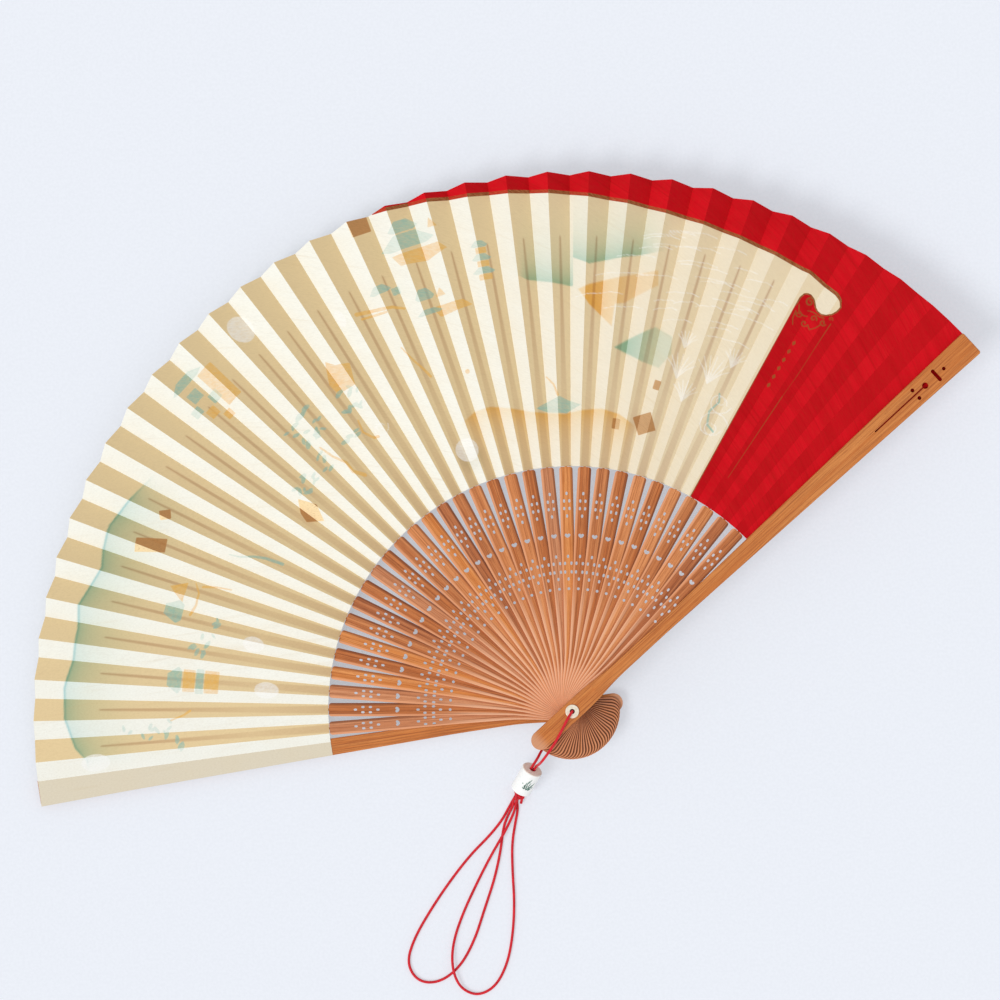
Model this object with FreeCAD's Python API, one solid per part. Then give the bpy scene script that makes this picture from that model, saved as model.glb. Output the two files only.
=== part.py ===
"""Folding hand fan with a pleated leaf, pierced bamboo sticks, an eyelet pivot and a corded wrist strap.

Frame: millimetres, +Z up along the pivot axis, which is at X = Y = 0. Z = 0 is the table that the open fan
lies on. The fan lies open: its back guard points left, its front guard points up and to the right, and the
sticks are stacked up the pivot in a low spiral staircase from the one to the other.
"""
import FreeCAD, Part
import os
from math import cos, pi, radians, sin, sqrt, tan

Vector = FreeCAD.Vector

# ---- driving dimensions: the whole fan ----
rib_count = 32                # inner ribs, between the two guards
back_angle = 188.9            # direction of the back guard, degrees from +X
spread = 146.2                # angle between the guards with the fan open, degrees
reach = 211.0                 # pivot to the outer edge of the leaf
leaf_start = 95.0             # pivot to the inner edge of the leaf
blade_gap = 0.08              # room between one rib and the next
cord_under_gap = 0.10         # room between the eyelet and the cord that runs under it

# ---- guards ----
guard_thickness = 2.15
guard_relief = 0.15           # the head's outer face is cut back, so that the eyelet sits lower
guard_relief_end = 12.0       # pivot to the end of that cut
guard_tail = 20.3             # pivot to the round end of the head
guard_head_half = 3.7         # half widths
guard_waist_half = 2.45
guard_tip_half = 5.2
guard_waist_end = 47.0        # pivot to where the guard starts to widen
guard_tip_corner = 0.9        # corner radius at the tip
guard_edge = 0.25             # chamfer round the outer face
guard_to_rib = 0.30           # room for the folded leaf beside each guard

# ---- pierced pattern near a guard's tip, as distances in from the leaf's outer edge ----
tip_hole_in = 14.9
tip_hole_bore = 1.45
cross_slot_in = 18.8
cross_slot_length = 5.7
cross_slot_width = 1.5
keyhole_in = 24.7
keyhole_bore = 2.5
keyhole_slit_length = 25.0
keyhole_slit_width = 0.55
pair_holes_in = 29.6
pair_holes_apart = 4.0
pair_hole_bore = 1.55

# ---- ribs ----
blade_thickness = 0.44
rib_tail = 19.0
rib_head_half = 3.6
rib_waist_half = 2.15
rib_blade_half = 2.6
rib_waist_end = 47.0
rib_wide_length = 27.0        # stretch of the blade that has its full width
rib_shoulder_corner = 1.1     # corner radius where the blade stops under the leaf
head_neck_start = 4.0         # pivot to where head narrows to waist, on ribs and guards
head_neck_end = 26.0
slip_thickness = 0.20
slip_neck_half = 0.45
slip_wide_half = 1.30
slip_tip_half = 0.80
slip_neck_length = 4.0
slip_root = 1.0               # length of the slip's root inside the blade
slip_root_half = 0.40
slip_reach = 184.0            # pivot to the slip's end, inside the leaf

# ---- pierced pattern of a rib ----
outer_flower_in = 14.8        # distances in from the blade's end
inner_flower_in = 39.3
petal_length = 1.33
petal_width = 0.86
petal_end_out = 4.4           # the two end petals, along the rib from the flower's middle
outer_petal_side = (1.47, 1.02)
inner_petal_side = (1.68, 1.25)
heart_in = 26.6
heart_radius = 0.55
heart_depth = 1.05
rib_hole_in = 47.5
rib_hole_bore = 1.1

# ---- leaf ----
paper = 0.10
panel_share = 0.54            # share of one rib's angle that its glued panel takes
pleat_slope = 0.60            # sideways slope of a full pleat's glued panel
pleat_ramp = 6                # panels over which the pleats flatten towards each guard
glue_gap = 0.12               # slip to leaf
band_half_angle = 1.5         # half the leaf's plain end band, glued over the back guard
node_gap_angle = 0.02         # between one leaf piece and the next
leaf_inset = 0.2              # leaf edge to the blade's end

# ---- eyelet pivot ----
eyelet_bore_r = 1.0
eyelet_shank_r = 1.6
eyelet_flange_r = 2.65
eyelet_flange = 0.55
eyelet_round = 0.22
pivot_clearance = 0.05        # radial, shank to sticks
flange_clearance = 0.06       # flange to front guard

# ---- wrist strap ----
cord_r = 0.525
table_gap = 0.005             # table to a cord that lies on it
head_gap = 0.195              # front guard's head to the cord over it
flange_gap = 0.355            # eyelet flange to the cord over it
crossing_gap = 0.27           # one cord to another that passes over it
bead_r = 4.15
bead_length = 11.0
strand_gap = 0.11             # between the two strands in the bead
bead_bore_gap = 0.245         # strands to the bead's bore
bead_edge = 0.45
bead_heading = 61.0           # plan direction of the bead's axis, lower end to upper end
bead_lean = 30.0              # the upper end stands this much higher, degrees
bead_low_end = (-19.86, -31.46)
knot_gap = 0.25
knot_length = 3.6
knot_cover = 0.245            # strands to the knot's end rim
knot_swell = 0.5              # the knot's middle over its ends

# ---- derived places ----
pitch = spread / (rib_count + 1)
stack_pitch = blade_thickness + blade_gap
cord_on_table = cord_r + table_gap
strand_offset = cord_r + strand_gap / 2
bead_bore_r = strand_offset + cord_r + bead_bore_gap
knot_end_r = strand_offset + cord_r + knot_cover
knot_r = knot_end_r + knot_swell
back_head_low = 2 * cord_r + cord_under_gap + eyelet_flange
back_low = back_head_low - guard_relief
back_top = back_low + guard_thickness
rib_1_low = back_top + guard_to_rib
front_low = rib_1_low + (rib_count - 1) * stack_pitch + blade_thickness + guard_to_rib
front_top = front_low + guard_thickness
front_head_top = front_top - guard_relief
flange_low = front_head_top + flange_clearance
flange_top = flange_low + eyelet_flange
washer_low = back_head_low - eyelet_flange
panel_half_angle = pitch * panel_share / 2
bore_r = eyelet_shank_r + pivot_clearance

os.makedirs("parts", exist_ok=True)


def save(name, shape):
    """One STEP file for one named piece."""
    if not shape.isValid() or shape.Volume <= 0:
        raise RuntimeError(f"{name} is not a sound solid")
    shape.exportStep(f"parts/{name}.step")
    print(f"{name:20s} {len(shape.Solids)} solid  {shape.Volume:9.3f} mm3")


def polar(radius, angle, z=0.0):
    return Vector(radius * cos(radians(angle)), radius * sin(radians(angle)), z)


def turned(shape, angle):
    """A copy of a shape drawn along +X, turned about the pivot to a stick's direction."""
    copy = shape.copy()
    copy.rotate(Vector(0, 0, 0), Vector(0, 0, 1), angle)
    return copy


# ---- outlines, drawn along +X from the pivot in the plane Z = 0 ----
def line(a, b):
    return Part.LineSegment(Vector(*a, 0), Vector(*b, 0)).toShape()


def arc(a, middle, b):
    return Part.Arc(Vector(*a, 0), Vector(*middle, 0), Vector(*b, 0)).toShape()


def circle(x, y, radius):
    return Part.Wire(Part.Circle(Vector(x, y, 0), Vector(0, 0, 1), radius).toShape())


def slot(x, y, length, width, along_x=True):
    """A round-ended slot centred on (x, y)."""
    r = width / 2
    h = length / 2 - r
    if along_x:
        edges = [
            line((x - h, y - r), (x + h, y - r)),
            arc((x + h, y - r), (x + h + r, y), (x + h, y + r)),
            line((x + h, y + r), (x - h, y + r)),
            arc((x - h, y + r), (x - h - r, y), (x - h, y - r)),
        ]
    else:
        edges = [
            line((x + r, y - h), (x + r, y + h)),
            arc((x + r, y + h), (x, y + h + r), (x - r, y + h)),
            line((x - r, y + h), (x - r, y - h)),
            arc((x - r, y - h), (x, y - h - r), (x + r, y - h)),
        ]
    return Part.Wire(edges)


def heart(x, radius, depth):
    """A heart with its lobes outwards and its round point towards the pivot."""
    top = radius * 2
    return Part.Wire([
        arc((x, 0), (x + radius, radius), (x, top)),
        arc((x, top), (x - depth * 0.7, top * 0.62), (x - depth, 0)),
        arc((x - depth, 0), (x - depth * 0.7, -top * 0.62), (x, -top)),
        arc((x, -top), (x + radius, -radius), (x, 0)),
    ])


def keyhole(x, radius, slit_length, slit_width):
    """A round hole with a slit running from it towards the pivot."""
    half = slit_width / 2
    near = x - sqrt(radius * radius - half * half)
    far = x - radius - slit_length
    return Part.Wire([
        arc((near, half), (x + radius, 0), (near, -half)),
        line((near, -half), (far, -half)),
        arc((far, -half), (far - half, 0), (far, half)),
        line((far, half), (near, half)),
    ])


def stick_outline(tail, head, waist, waist_end, wide_end, wide, end, corner):
    """Round head, an S-shaped neck to the waist, a flare, and an end with rounded corners."""
    middle = ((head_neck_start + head_neck_end) / 2, (head + waist) / 2)
    run = head_neck_end - head_neck_start
    drop = head - waist
    r = (run * run + drop * drop) / (4 * drop)
    dip = r - sqrt(r * r - (run / 4) ** 2)
    out_point = (head_neck_start + run / 4, head - dip)
    in_point = (head_neck_end - run / 4, waist + dip)
    slant = corner * (1 - sqrt(0.5))
    round_at = tail - head

    def side(sign):
        def flip(p):
            return (p[0], sign * p[1])
        path = [
            line(flip((-round_at, head)), flip((head_neck_start, head))),
            arc(flip((head_neck_start, head)), flip(out_point), flip(middle)),
            arc(flip(middle), flip(in_point), flip((head_neck_end, waist))),
            line(flip((head_neck_end, waist)), flip((waist_end, waist))),
            line(flip((waist_end, waist)), flip((wide_end, wide))),
        ]
        if end - corner > wide_end:
            path.append(line(flip((wide_end, wide)), flip((end - corner, wide))))
        rounding = ((end - corner, wide), (end - slant, wide - slant), (end, wide - corner))
        path.append(arc(*[flip(p) for p in rounding]))
        return path

    edges = side(1) + side(-1)
    edges.append(line((end, wide - corner), (end, corner - wide)))
    edges.append(arc((-round_at, head), (-tail, 0), (-round_at, -head)))
    return Part.Wire(Part.__sortEdges__(edges))


def pierced(outline, holes, thickness):
    """The outline with its holes, as a flat plate standing on Z = 0."""
    face = Part.Face([outline] + holes, "Part::FaceMakerBullseye")
    return face.extrude(Vector(0, 0, thickness))


# ---- guards ----
def guard_plate():
    """A guard with its outer face up, drawn along +X."""
    outline = stick_outline(
        guard_tail, guard_head_half, guard_waist_half, guard_waist_end,
        reach - guard_tip_corner, guard_tip_half, reach, guard_tip_corner,
    )
    pair_y = pair_holes_apart / 2
    holes = [
        circle(0, 0, bore_r),
        circle(reach - tip_hole_in, 0, tip_hole_bore / 2),
        slot(reach - cross_slot_in, 0, cross_slot_length, cross_slot_width, along_x=False),
        keyhole(reach - keyhole_in, keyhole_bore / 2, keyhole_slit_length, keyhole_slit_width),
        circle(reach - pair_holes_in, pair_y, pair_hole_bore / 2),
        circle(reach - pair_holes_in, -pair_y, pair_hole_bore / 2),
    ]
    blank = pierced(outline, [], guard_thickness)
    rim = [e for e in blank.Edges if e.BoundBox.ZMin > guard_thickness - 1e-6]
    blank = blank.makeChamfer(guard_edge, rim)
    wide = 4 * guard_head_half
    relief = Part.makeBox(
        guard_tail * 2, wide, guard_thickness,
        Vector(guard_relief_end - guard_tail * 2, -wide / 2, guard_thickness - guard_relief),
    )
    cutters = [Part.Face(hole).extrude(Vector(0, 0, guard_thickness)) for hole in holes]
    return blank.cut(Part.makeCompound(cutters + [relief])).removeSplitter().Solids[0]


def back_guard():
    plate = guard_plate()
    plate.rotate(Vector(0, 0, 0), Vector(1, 0, 0), 180)
    plate = turned(plate, back_angle)
    plate.translate(Vector(0, 0, back_top))
    return plate


def front_guard():
    plate = turned(guard_plate(), back_angle - spread)
    plate.translate(Vector(0, 0, front_low))
    return plate


# ---- ribs ----
def rib_low(i):
    return rib_1_low + (i - 1) * stack_pitch


def rib_angle(i):
    return back_angle - pitch * i


def slope(i):
    """Sideways slope of rib i's glued panel: full in the middle of the fan, flat beside the guards."""
    share = min(1.0, i / pleat_ramp, (rib_count + 1 - i) / pleat_ramp)
    return pleat_slope * max(share, 0.0)


def polyhedron(rings):
    """A solid through rings of equally many corners, with a flat cap at each end and triangles between."""
    def face(corners):
        return Part.Face(Part.makePolygon(list(corners) + [corners[0]]))
    faces = []
    for a, b in zip(rings, rings[1:]):
        for k in range(len(a)):
            n = (k + 1) % len(a)
            faces.append(face([a[k], a[n], b[n]]))
            faces.append(face([a[k], b[n], b[k]]))
    faces.append(face(rings[0]))
    faces.append(face(rings[-1]))
    solid = Part.makeSolid(Part.makeShell(faces))
    if solid.Volume < 0:
        solid.reverse()
    return solid


def slip(i):
    """The narrow strip that carries the leaf, twisting out of the blade to lie along its pleat."""
    full = slope(i)
    stations = [
        (leaf_start - slip_root, slip_root_half, 0.40 * full),
        (leaf_start, slip_neck_half, 0.55 * full),
        (leaf_start + slip_neck_length, slip_wide_half, full),
        (slip_reach, slip_tip_half, full),
    ]
    rings = []
    for x, half, lean in stations:
        up = slip_thickness / 2 * sqrt(1 + lean * lean)
        rings.append([
            Vector(x, -half, -half * lean - up),
            Vector(x, half, half * lean - up),
            Vector(x, half, half * lean + up),
            Vector(x, -half, -half * lean + up),
        ])
    return polyhedron(rings)


def rib_blade():
    outline = stick_outline(
        rib_tail, rib_head_half, rib_waist_half, rib_waist_end,
        leaf_start - rib_wide_length, rib_blade_half, leaf_start, rib_shoulder_corner,
    )
    holes = [
        circle(0, 0, bore_r),
        circle(leaf_start - rib_hole_in, 0, rib_hole_bore / 2),
        heart(leaf_start - heart_in, heart_radius, heart_depth),
    ]
    for inwards, side in ((outer_flower_in, outer_petal_side), (inner_flower_in, inner_petal_side)):
        at = leaf_start - inwards
        for sign in (1, -1):
            holes.append(slot(at + sign * petal_end_out, 0, petal_length, petal_width))
            holes.append(slot(at + sign * side[0], side[1], petal_length, petal_width))
            holes.append(slot(at + sign * side[0], -side[1], petal_length, petal_width))
    return pierced(outline, holes, blade_thickness)


def rib(i, blade):
    strip = slip(i)
    strip.translate(Vector(0, 0, blade_thickness / 2))
    whole = blade.fuse(strip)
    whole = turned(whole, rib_angle(i))
    whole.translate(Vector(0, 0, rib_low(i)))
    return whole.Solids[0]


# ---- leaf ----
def panel_level(i):
    """Height of panel i where it would meet the pivot axis; 0 and rib_count + 1 are the guards' panels."""
    if i == 0:
        return back_top + paper
    if i == rib_count + 1:
        return front_low - paper
    above_slip = (slip_thickness + paper) / 2 * sqrt(1 + pleat_slope ** 2)
    return rib_low(i) + blade_thickness / 2 + above_slip + glue_gap


def creases(i):
    """Panel i's left ridge and right valley, each as (angle, level, rise per millimetre out)."""
    rise = slope(i) * tan(radians(panel_half_angle))
    ridge = (rib_angle(i) + panel_half_angle, panel_level(i), rise)
    valley = (rib_angle(i) - panel_half_angle, panel_level(i), -rise)
    return [ridge, valley]


def leaf_strip(lines):
    """A thin pleated solid through crease lines, listed from left to right."""
    up = paper / 2 * sqrt(1 + pleat_slope ** 2)
    rings = []
    for angle, level, rise in lines:
        inner = leaf_start + leaf_inset
        rings.append([
            polar(inner, angle, level + rise * inner - up),
            polar(reach, angle, level + rise * reach - up),
            polar(reach, angle, level + rise * reach + up),
            polar(inner, angle, level + rise * inner + up),
        ])
    return polyhedron(rings)


def shifted(crease, angle):
    return (crease[0] + angle,) + tuple(crease[1:])


def first_leaf():
    """The plain end band over the back guard, with the first free panel."""
    band_left = (back_angle + band_half_angle, panel_level(0), 0.0)
    band_right = creases(0)[1]
    ridge = creases(1)[0]
    return leaf_strip([band_left, band_right, shifted(ridge, node_gap_angle)])


def leaf_pair(i):
    """Ribs i and i + 1's glued panels, each with the free panel on its right."""
    lines = creases(i) + creases(i + 1)
    if i + 2 <= rib_count + 1:
        lines.append(shifted(creases(i + 2)[0], node_gap_angle))
    return leaf_strip(lines)


# ---- eyelet ----
def ring_profile(inner, outer, low, high, round_up):
    """A flat ring whose outer edge is rounded on one face."""
    r = eyelet_round
    s = r * (1 - sqrt(0.5))
    if round_up:
        points = [Vector(inner, 0, low), Vector(outer, 0, low), Vector(outer, 0, high - r)]
        edge = [Vector(outer, 0, high - r), Vector(outer - s, 0, high - s), Vector(outer - r, 0, high)]
        back = [Vector(outer - r, 0, high), Vector(inner, 0, high), Vector(inner, 0, low)]
    else:
        points = [Vector(inner, 0, high), Vector(outer, 0, high), Vector(outer, 0, low + r)]
        edge = [Vector(outer, 0, low + r), Vector(outer - s, 0, low + s), Vector(outer - r, 0, low)]
        back = [Vector(outer - r, 0, low), Vector(inner, 0, low), Vector(inner, 0, high)]
    edges = Part.makePolygon(points).Edges + [Part.Arc(*edge).toShape()] + Part.makePolygon(back).Edges
    face = Part.Face(Part.Wire(edges))
    return face.revolve(Vector(0, 0, 0), Vector(0, 0, 1), 360)


def eyelet():
    """The flanged tube that the sticks turn on."""
    tube = Part.makeCylinder(eyelet_shank_r, flange_low - washer_low, Vector(0, 0, washer_low))
    bore = Part.makeCylinder(eyelet_bore_r, flange_top - washer_low + 2, Vector(0, 0, washer_low - 1))
    flange = ring_profile(eyelet_bore_r, eyelet_flange_r, flange_low, flange_top, True)
    return tube.cut(bore).fuse(flange).removeSplitter().Solids[0]


def washer():
    """The ring that the tube is clinched over, on the back."""
    return ring_profile(eyelet_shank_r, eyelet_flange_r, washer_low, back_head_low, False).Solids[0]


# ---- wrist strap ----
bead_axis = Vector(
    cos(radians(bead_heading)) * cos(radians(bead_lean)),
    sin(radians(bead_heading)) * cos(radians(bead_lean)),
    sin(radians(bead_lean)),
)
bead_side = Vector(sin(radians(bead_heading)), -cos(radians(bead_heading)), 0)
bead_up = bead_side.cross(bead_axis)
bead_low = Vector(*bead_low_end, bead_r * cos(radians(bead_lean)))
bead_high = bead_low + bead_axis * bead_length
knot_high = bead_low - bead_axis * knot_gap
knot_low = knot_high - bead_axis * knot_length


def bead():
    """Ceramic barrel with a round bore and softened rims."""
    body = Part.makeCylinder(bead_r, bead_length, bead_low, bead_axis)
    rims = [e for e in body.Edges if e.Closed and isinstance(e.Curve, Part.Circle)]
    body = body.makeFillet(bead_edge, rims)
    bore = Part.makeCylinder(bead_bore_r, bead_length + 2, bead_low - bead_axis, bead_axis)
    return body.cut(bore).Solids[0]


def knot():
    """Barrel-shaped envelope of the wrapped knot below the bead."""
    foot = Vector(0, 0, 0)
    head = Vector(0, 0, knot_length)
    side = [
        Vector(knot_end_r, 0, 0),
        Vector(knot_r, 0, knot_length / 2),
        Vector(knot_end_r, 0, knot_length),
    ]
    profile = [
        Part.LineSegment(foot, side[0]).toShape(),
        Part.Arc(*side).toShape(),
        Part.LineSegment(side[2], head).toShape(),
        Part.LineSegment(head, foot).toShape(),
    ]
    solid = Part.Face(Part.Wire(profile)).revolve(Vector(0, 0, 0), Vector(0, 0, 1), 360)
    solid.Placement = FreeCAD.Placement(knot_low, FreeCAD.Rotation(Vector(0, 0, 1), bead_axis))
    return solid.Solids[0]


def cord_tube(name, points):
    """A tube along straight runs joined by tangent arcs, each arc as large as its two runs allow."""
    edges = []
    radii = []
    length = 0.0
    here = points[0]
    for before, at, after in zip(points, points[1:], points[2:]):
        back = (before - at).normalize()
        onward = (after - at).normalize()
        turn = pi - back.getAngle(onward)
        cut = 0.45 * min((before - at).Length, (after - at).Length)
        radius = cut / tan(turn / 2)
        start = at + back * cut
        end = at + onward * cut
        bisector = (back + onward).normalize()
        centre = at + bisector * (radius / cos(turn / 2))
        middle = centre - bisector * radius
        edges.append(Part.LineSegment(here, start).toShape())
        edges.append(Part.Arc(start, middle, end).toShape())
        length += (start - here).Length + radius * turn
        radii.append(radius)
        here = end
    edges.append(Part.LineSegment(here, points[-1]).toShape())
    length += (points[-1] - here).Length
    path = Part.Wire(edges)
    heading = (points[1] - points[0]).normalize()
    ring = Part.Wire(Part.Circle(points[0], heading, cord_r).toShape())
    tube = path.makePipeShell([ring], True, False)
    share = tube.Volume / (pi * cord_r ** 2 * length)
    print(f"{name}: length {length:.1f} mm, tube volume {share:.4f} of section x length")
    print("   arc radii " + " ".join(f"{r:.1f}" for r in radii))
    return tube.Solids[0]


def neck_points():
    """From the knot through the bead, over the head, down the eyelet, and back under the head to the bead."""
    front = bead_side * strand_offset
    back = bead_side * -strand_offset
    top = front_head_top + cord_r + head_gap
    over = flange_top + cord_r + flange_gap
    bore = over - cord_on_table
    play = eyelet_bore_r - cord_r
    return [
        knot_high + front,
        bead_low + bead_axis * 4.6 + front * 1.06,
        bead_low + bead_axis * 10.0 + front,
        bead_high + bead_axis * 2.4 + front * 1.3,
        Vector(-13.2, -21.2, 15.4),
        Vector(-12.4, -20.3, top - 3.4),
        Vector(-10.95, -18.35, top + 0.1),
        Vector(-7.4, -13.4, top + 0.12),
        Vector(-4.9, -9.0, top + 0.2),
        Vector(-2.6, -4.4, over + 0.1),
        Vector(-1.3, -1.9, over),
        Vector(0.0, 0.0, over - 0.1),
        Vector(0.25 * play, 0.30 * play, cord_on_table + 0.89 * bore),
        Vector(0.55 * play, 0.60 * play, cord_on_table + 0.71 * bore),
        Vector(0.60 * play, 0.60 * play, cord_on_table + 0.39 * bore),
        Vector(0.25 * play, 0.30 * play, cord_on_table + 0.12 * bore),
        Vector(0.0, 0.0, cord_on_table + 0.02),
        Vector(-1.6, -2.2, cord_on_table),
        Vector(-4.3, -5.9, cord_on_table + 0.1),
        Vector(-7.2, -9.8, 1.8),
        Vector(-10.0, -13.4, 4.4),
        Vector(-12.0, -16.3, 7.6),
        Vector(-13.4, -19.0, 9.9),
        bead_high + bead_axis * 1.5 + back * 1.15,
        bead_low + bead_axis * 10.0 + back,
        bead_low + bead_axis * 4.6 + back * 1.06,
        knot_high + back,
    ]


def knot_exit(side, up, out):
    """A point on the strand that leaves the knot's lower face at that side and height."""
    return knot_low + bead_side * (side * strand_offset) + bead_up * (up * strand_offset) - bead_axis * out


def loop_left_points():
    flat = cord_on_table
    return [
        knot_exit(-1, -1, 0.0),
        knot_exit(-1, -1, 1.6),
        Vector(-24.3, -38.2, flat),
        Vector(-27.2, -43.6, flat),
        Vector(-32.2, -49.8, flat),
        Vector(-39.6, -57.2, flat),
        Vector(-47.4, -67.2, flat),
        Vector(-55.0, -78.4, flat),
        Vector(-61.8, -90.2, flat),
        Vector(-64.6, -99.8, flat),
        Vector(-60.2, -107.0, flat),
        Vector(-51.8, -107.4, flat),
        Vector(-43.6, -101.2, flat),
        Vector(-37.9, -90.6, flat),
        Vector(-34.1, -78.6, flat),
        Vector(-30.1, -66.6, flat),
        Vector(-27.7, -55.4, flat),
        Vector(-26.7, -46.4, flat),
        Vector(-24.9, -41.6, 0.62),
        Vector(-22.9, -38.0, 1.15),
        knot_exit(-1, 1, 1.6),
        knot_exit(-1, 1, 0.0),
    ]


def loop_right_points():
    flat = cord_on_table
    over = flat + 2 * cord_r + crossing_gap
    return [
        knot_exit(1, 1, 0.0),
        knot_exit(1, 1, 1.6),
        Vector(-22.0, -39.0, 1.9),
        Vector(-23.8, -43.4, over),
        Vector(-26.3, -48.4, over),
        Vector(-29.6, -54.0, over),
        Vector(-33.0, -60.2, 0.9),
        Vector(-37.6, -69.4, flat),
        Vector(-42.4, -79.8, flat),
        Vector(-46.0, -90.0, 0.8),
        Vector(-47.0, -98.4, over),
        Vector(-45.6, -105.6, over),
        Vector(-42.2, -110.4, 0.8),
        Vector(-36.2, -112.4, flat),
        Vector(-29.6, -108.8, flat),
        Vector(-25.0, -99.8, flat),
        Vector(-22.9, -88.2, flat),
        Vector(-22.3, -75.6, flat),
        Vector(-23.1, -63.4, flat),
        Vector(-23.3, -52.8, flat),
        Vector(-22.0, -44.6, flat),
        Vector(-20.9, -39.2, flat),
        knot_exit(1, -1, 1.6),
        knot_exit(1, -1, 0.0),
    ]


save("back_guard", back_guard())
blade = rib_blade()
for i in range(1, rib_count + 1):
    save(f"rib_{i:02d}", rib(i, blade))
save("front_guard", front_guard())
save("pivot_eyelet", eyelet())
save("pivot_washer", washer())
save("leaf_fold_00", first_leaf())
for i in range(1, rib_count + 1, 2):
    save(f"leaf_fold_{(i + 1) // 2:02d}", leaf_pair(i))
save("strap_bead", bead())
save("strap_knot", knot())
save("strap_neck", cord_tube("strap_neck", neck_points()))
save("strap_loop_left", cord_tube("strap_loop_left", loop_left_points()))
save("strap_loop_right", cord_tube("strap_loop_right", loop_right_points()))
print(f"stack: back guard {back_low:.2f} to {back_top:.2f}, front guard {front_low:.2f} to {front_top:.2f}")
print(f"the front guard closes by {spread:.1f} degrees, {pitch:.3f} for each rib")
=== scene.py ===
"""Looks of a folding hand fan: bamboo sticks, a pleated painted leaf, an enamelled eyelet and a red wrist strap.

Row frame in metres: +Z up, the pivot axis at X = Y = 0, the table at Z = 0. Most sizes below are written in
millimetres or degrees, as in the part's source, and MM turns them into metres.
"""

import random
from math import cos, degrees, hypot, pi, radians, sin, sqrt, tan

import bpy
import numpy as np
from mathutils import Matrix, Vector


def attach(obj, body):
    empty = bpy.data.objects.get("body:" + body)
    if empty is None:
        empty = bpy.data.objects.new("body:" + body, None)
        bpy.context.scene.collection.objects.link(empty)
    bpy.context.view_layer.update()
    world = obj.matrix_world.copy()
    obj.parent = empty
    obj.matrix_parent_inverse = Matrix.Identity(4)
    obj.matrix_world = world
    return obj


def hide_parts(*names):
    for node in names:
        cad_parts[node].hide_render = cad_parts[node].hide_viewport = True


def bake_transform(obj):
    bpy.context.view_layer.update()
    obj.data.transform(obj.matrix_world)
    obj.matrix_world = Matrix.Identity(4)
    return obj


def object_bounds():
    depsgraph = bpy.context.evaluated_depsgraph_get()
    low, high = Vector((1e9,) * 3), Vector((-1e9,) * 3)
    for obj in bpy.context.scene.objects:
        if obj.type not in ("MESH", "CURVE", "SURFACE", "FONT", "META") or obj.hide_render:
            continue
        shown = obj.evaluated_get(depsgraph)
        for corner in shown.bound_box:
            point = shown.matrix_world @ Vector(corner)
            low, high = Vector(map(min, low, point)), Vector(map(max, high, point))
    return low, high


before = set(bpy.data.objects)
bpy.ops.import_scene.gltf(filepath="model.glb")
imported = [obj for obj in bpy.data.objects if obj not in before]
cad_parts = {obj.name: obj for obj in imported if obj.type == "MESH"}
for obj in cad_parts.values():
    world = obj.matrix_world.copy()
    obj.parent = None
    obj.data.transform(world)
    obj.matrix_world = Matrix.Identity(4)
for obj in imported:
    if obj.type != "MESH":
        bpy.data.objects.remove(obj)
cad_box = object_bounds()

MM = 0.001

# ---- the fan's layout in millimetres and degrees, as the part's source has it but for slope() ----
RIBS = 32
BACK_ANGLE = 188.9
PITCH = 146.2 / (RIBS + 1)
REACH = 211.0
LEAF_INNER = 95.2
BACK_TOP = 3.70
RIB_1_LOW = 4.00
STACK_PITCH = 0.52
FRONT_LOW = 20.86
FRONT_HEAD_TOP = 22.86
FLANGE_TOP = 23.47
BLADE = 0.44
PAPER = 0.10
PLEAT_SLOPE = 0.60
PLEAT_RAMP = 6                      # panels over which the pleats flatten towards each guard
PANEL_HALF = PITCH * 0.54 / 2       # half the angle of a glued panel
SLIP_THICK, GLUE_GAP = 0.20, 0.12
LEVEL_OVER_RIB = BLADE / 2 + (SLIP_THICK + PAPER) / 2 * sqrt(1 + PLEAT_SLOPE ** 2) + GLUE_GAP
BAND_HALF = 1.5                     # least angle from the back guard's middle to the leaf's end
FRONT_EDGE = 1.15                   # angle from the front guard's middle to its other end
SLIP_REACH = 184.0


def rib_angle(i):
    return BACK_ANGLE - PITCH * i


def new_object(name, data):
    obj = bpy.data.objects.new(name, data)
    bpy.context.scene.collection.objects.link(obj)
    return obj


def dress(name, material):
    """Gives a CAD node its material."""
    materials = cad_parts[name].data.materials
    materials.clear()
    materials.append(material)


def srgb(*levels):
    """Linear colour of a colour written as it shows on a screen, 0 to 255."""
    def linear(c):
        c = c / 255
        return c / 12.92 if c <= 0.04045 else ((c + 0.055) / 1.055) ** 2.4
    return tuple(linear(c) for c in levels)


# ---- camera: straight down, square with the picture ----
VIEW_CENTRE = (-28.0 * MM, 82.0 * MM)
VIEW_WIDTH = 390.0 * MM
FAN_LEVEL = 12.0 * MM
camera_data = bpy.data.cameras.new("camera")
camera_data.lens = 180
camera_data.sensor_width = 36
camera = new_object("camera", camera_data)
camera_rise = VIEW_WIDTH * camera_data.lens / camera_data.sensor_width
camera.location = (*VIEW_CENTRE, FAN_LEVEL + camera_rise)
camera_data.clip_start = 0.05
camera_data.clip_end = 20
bpy.context.scene.camera = camera


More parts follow.
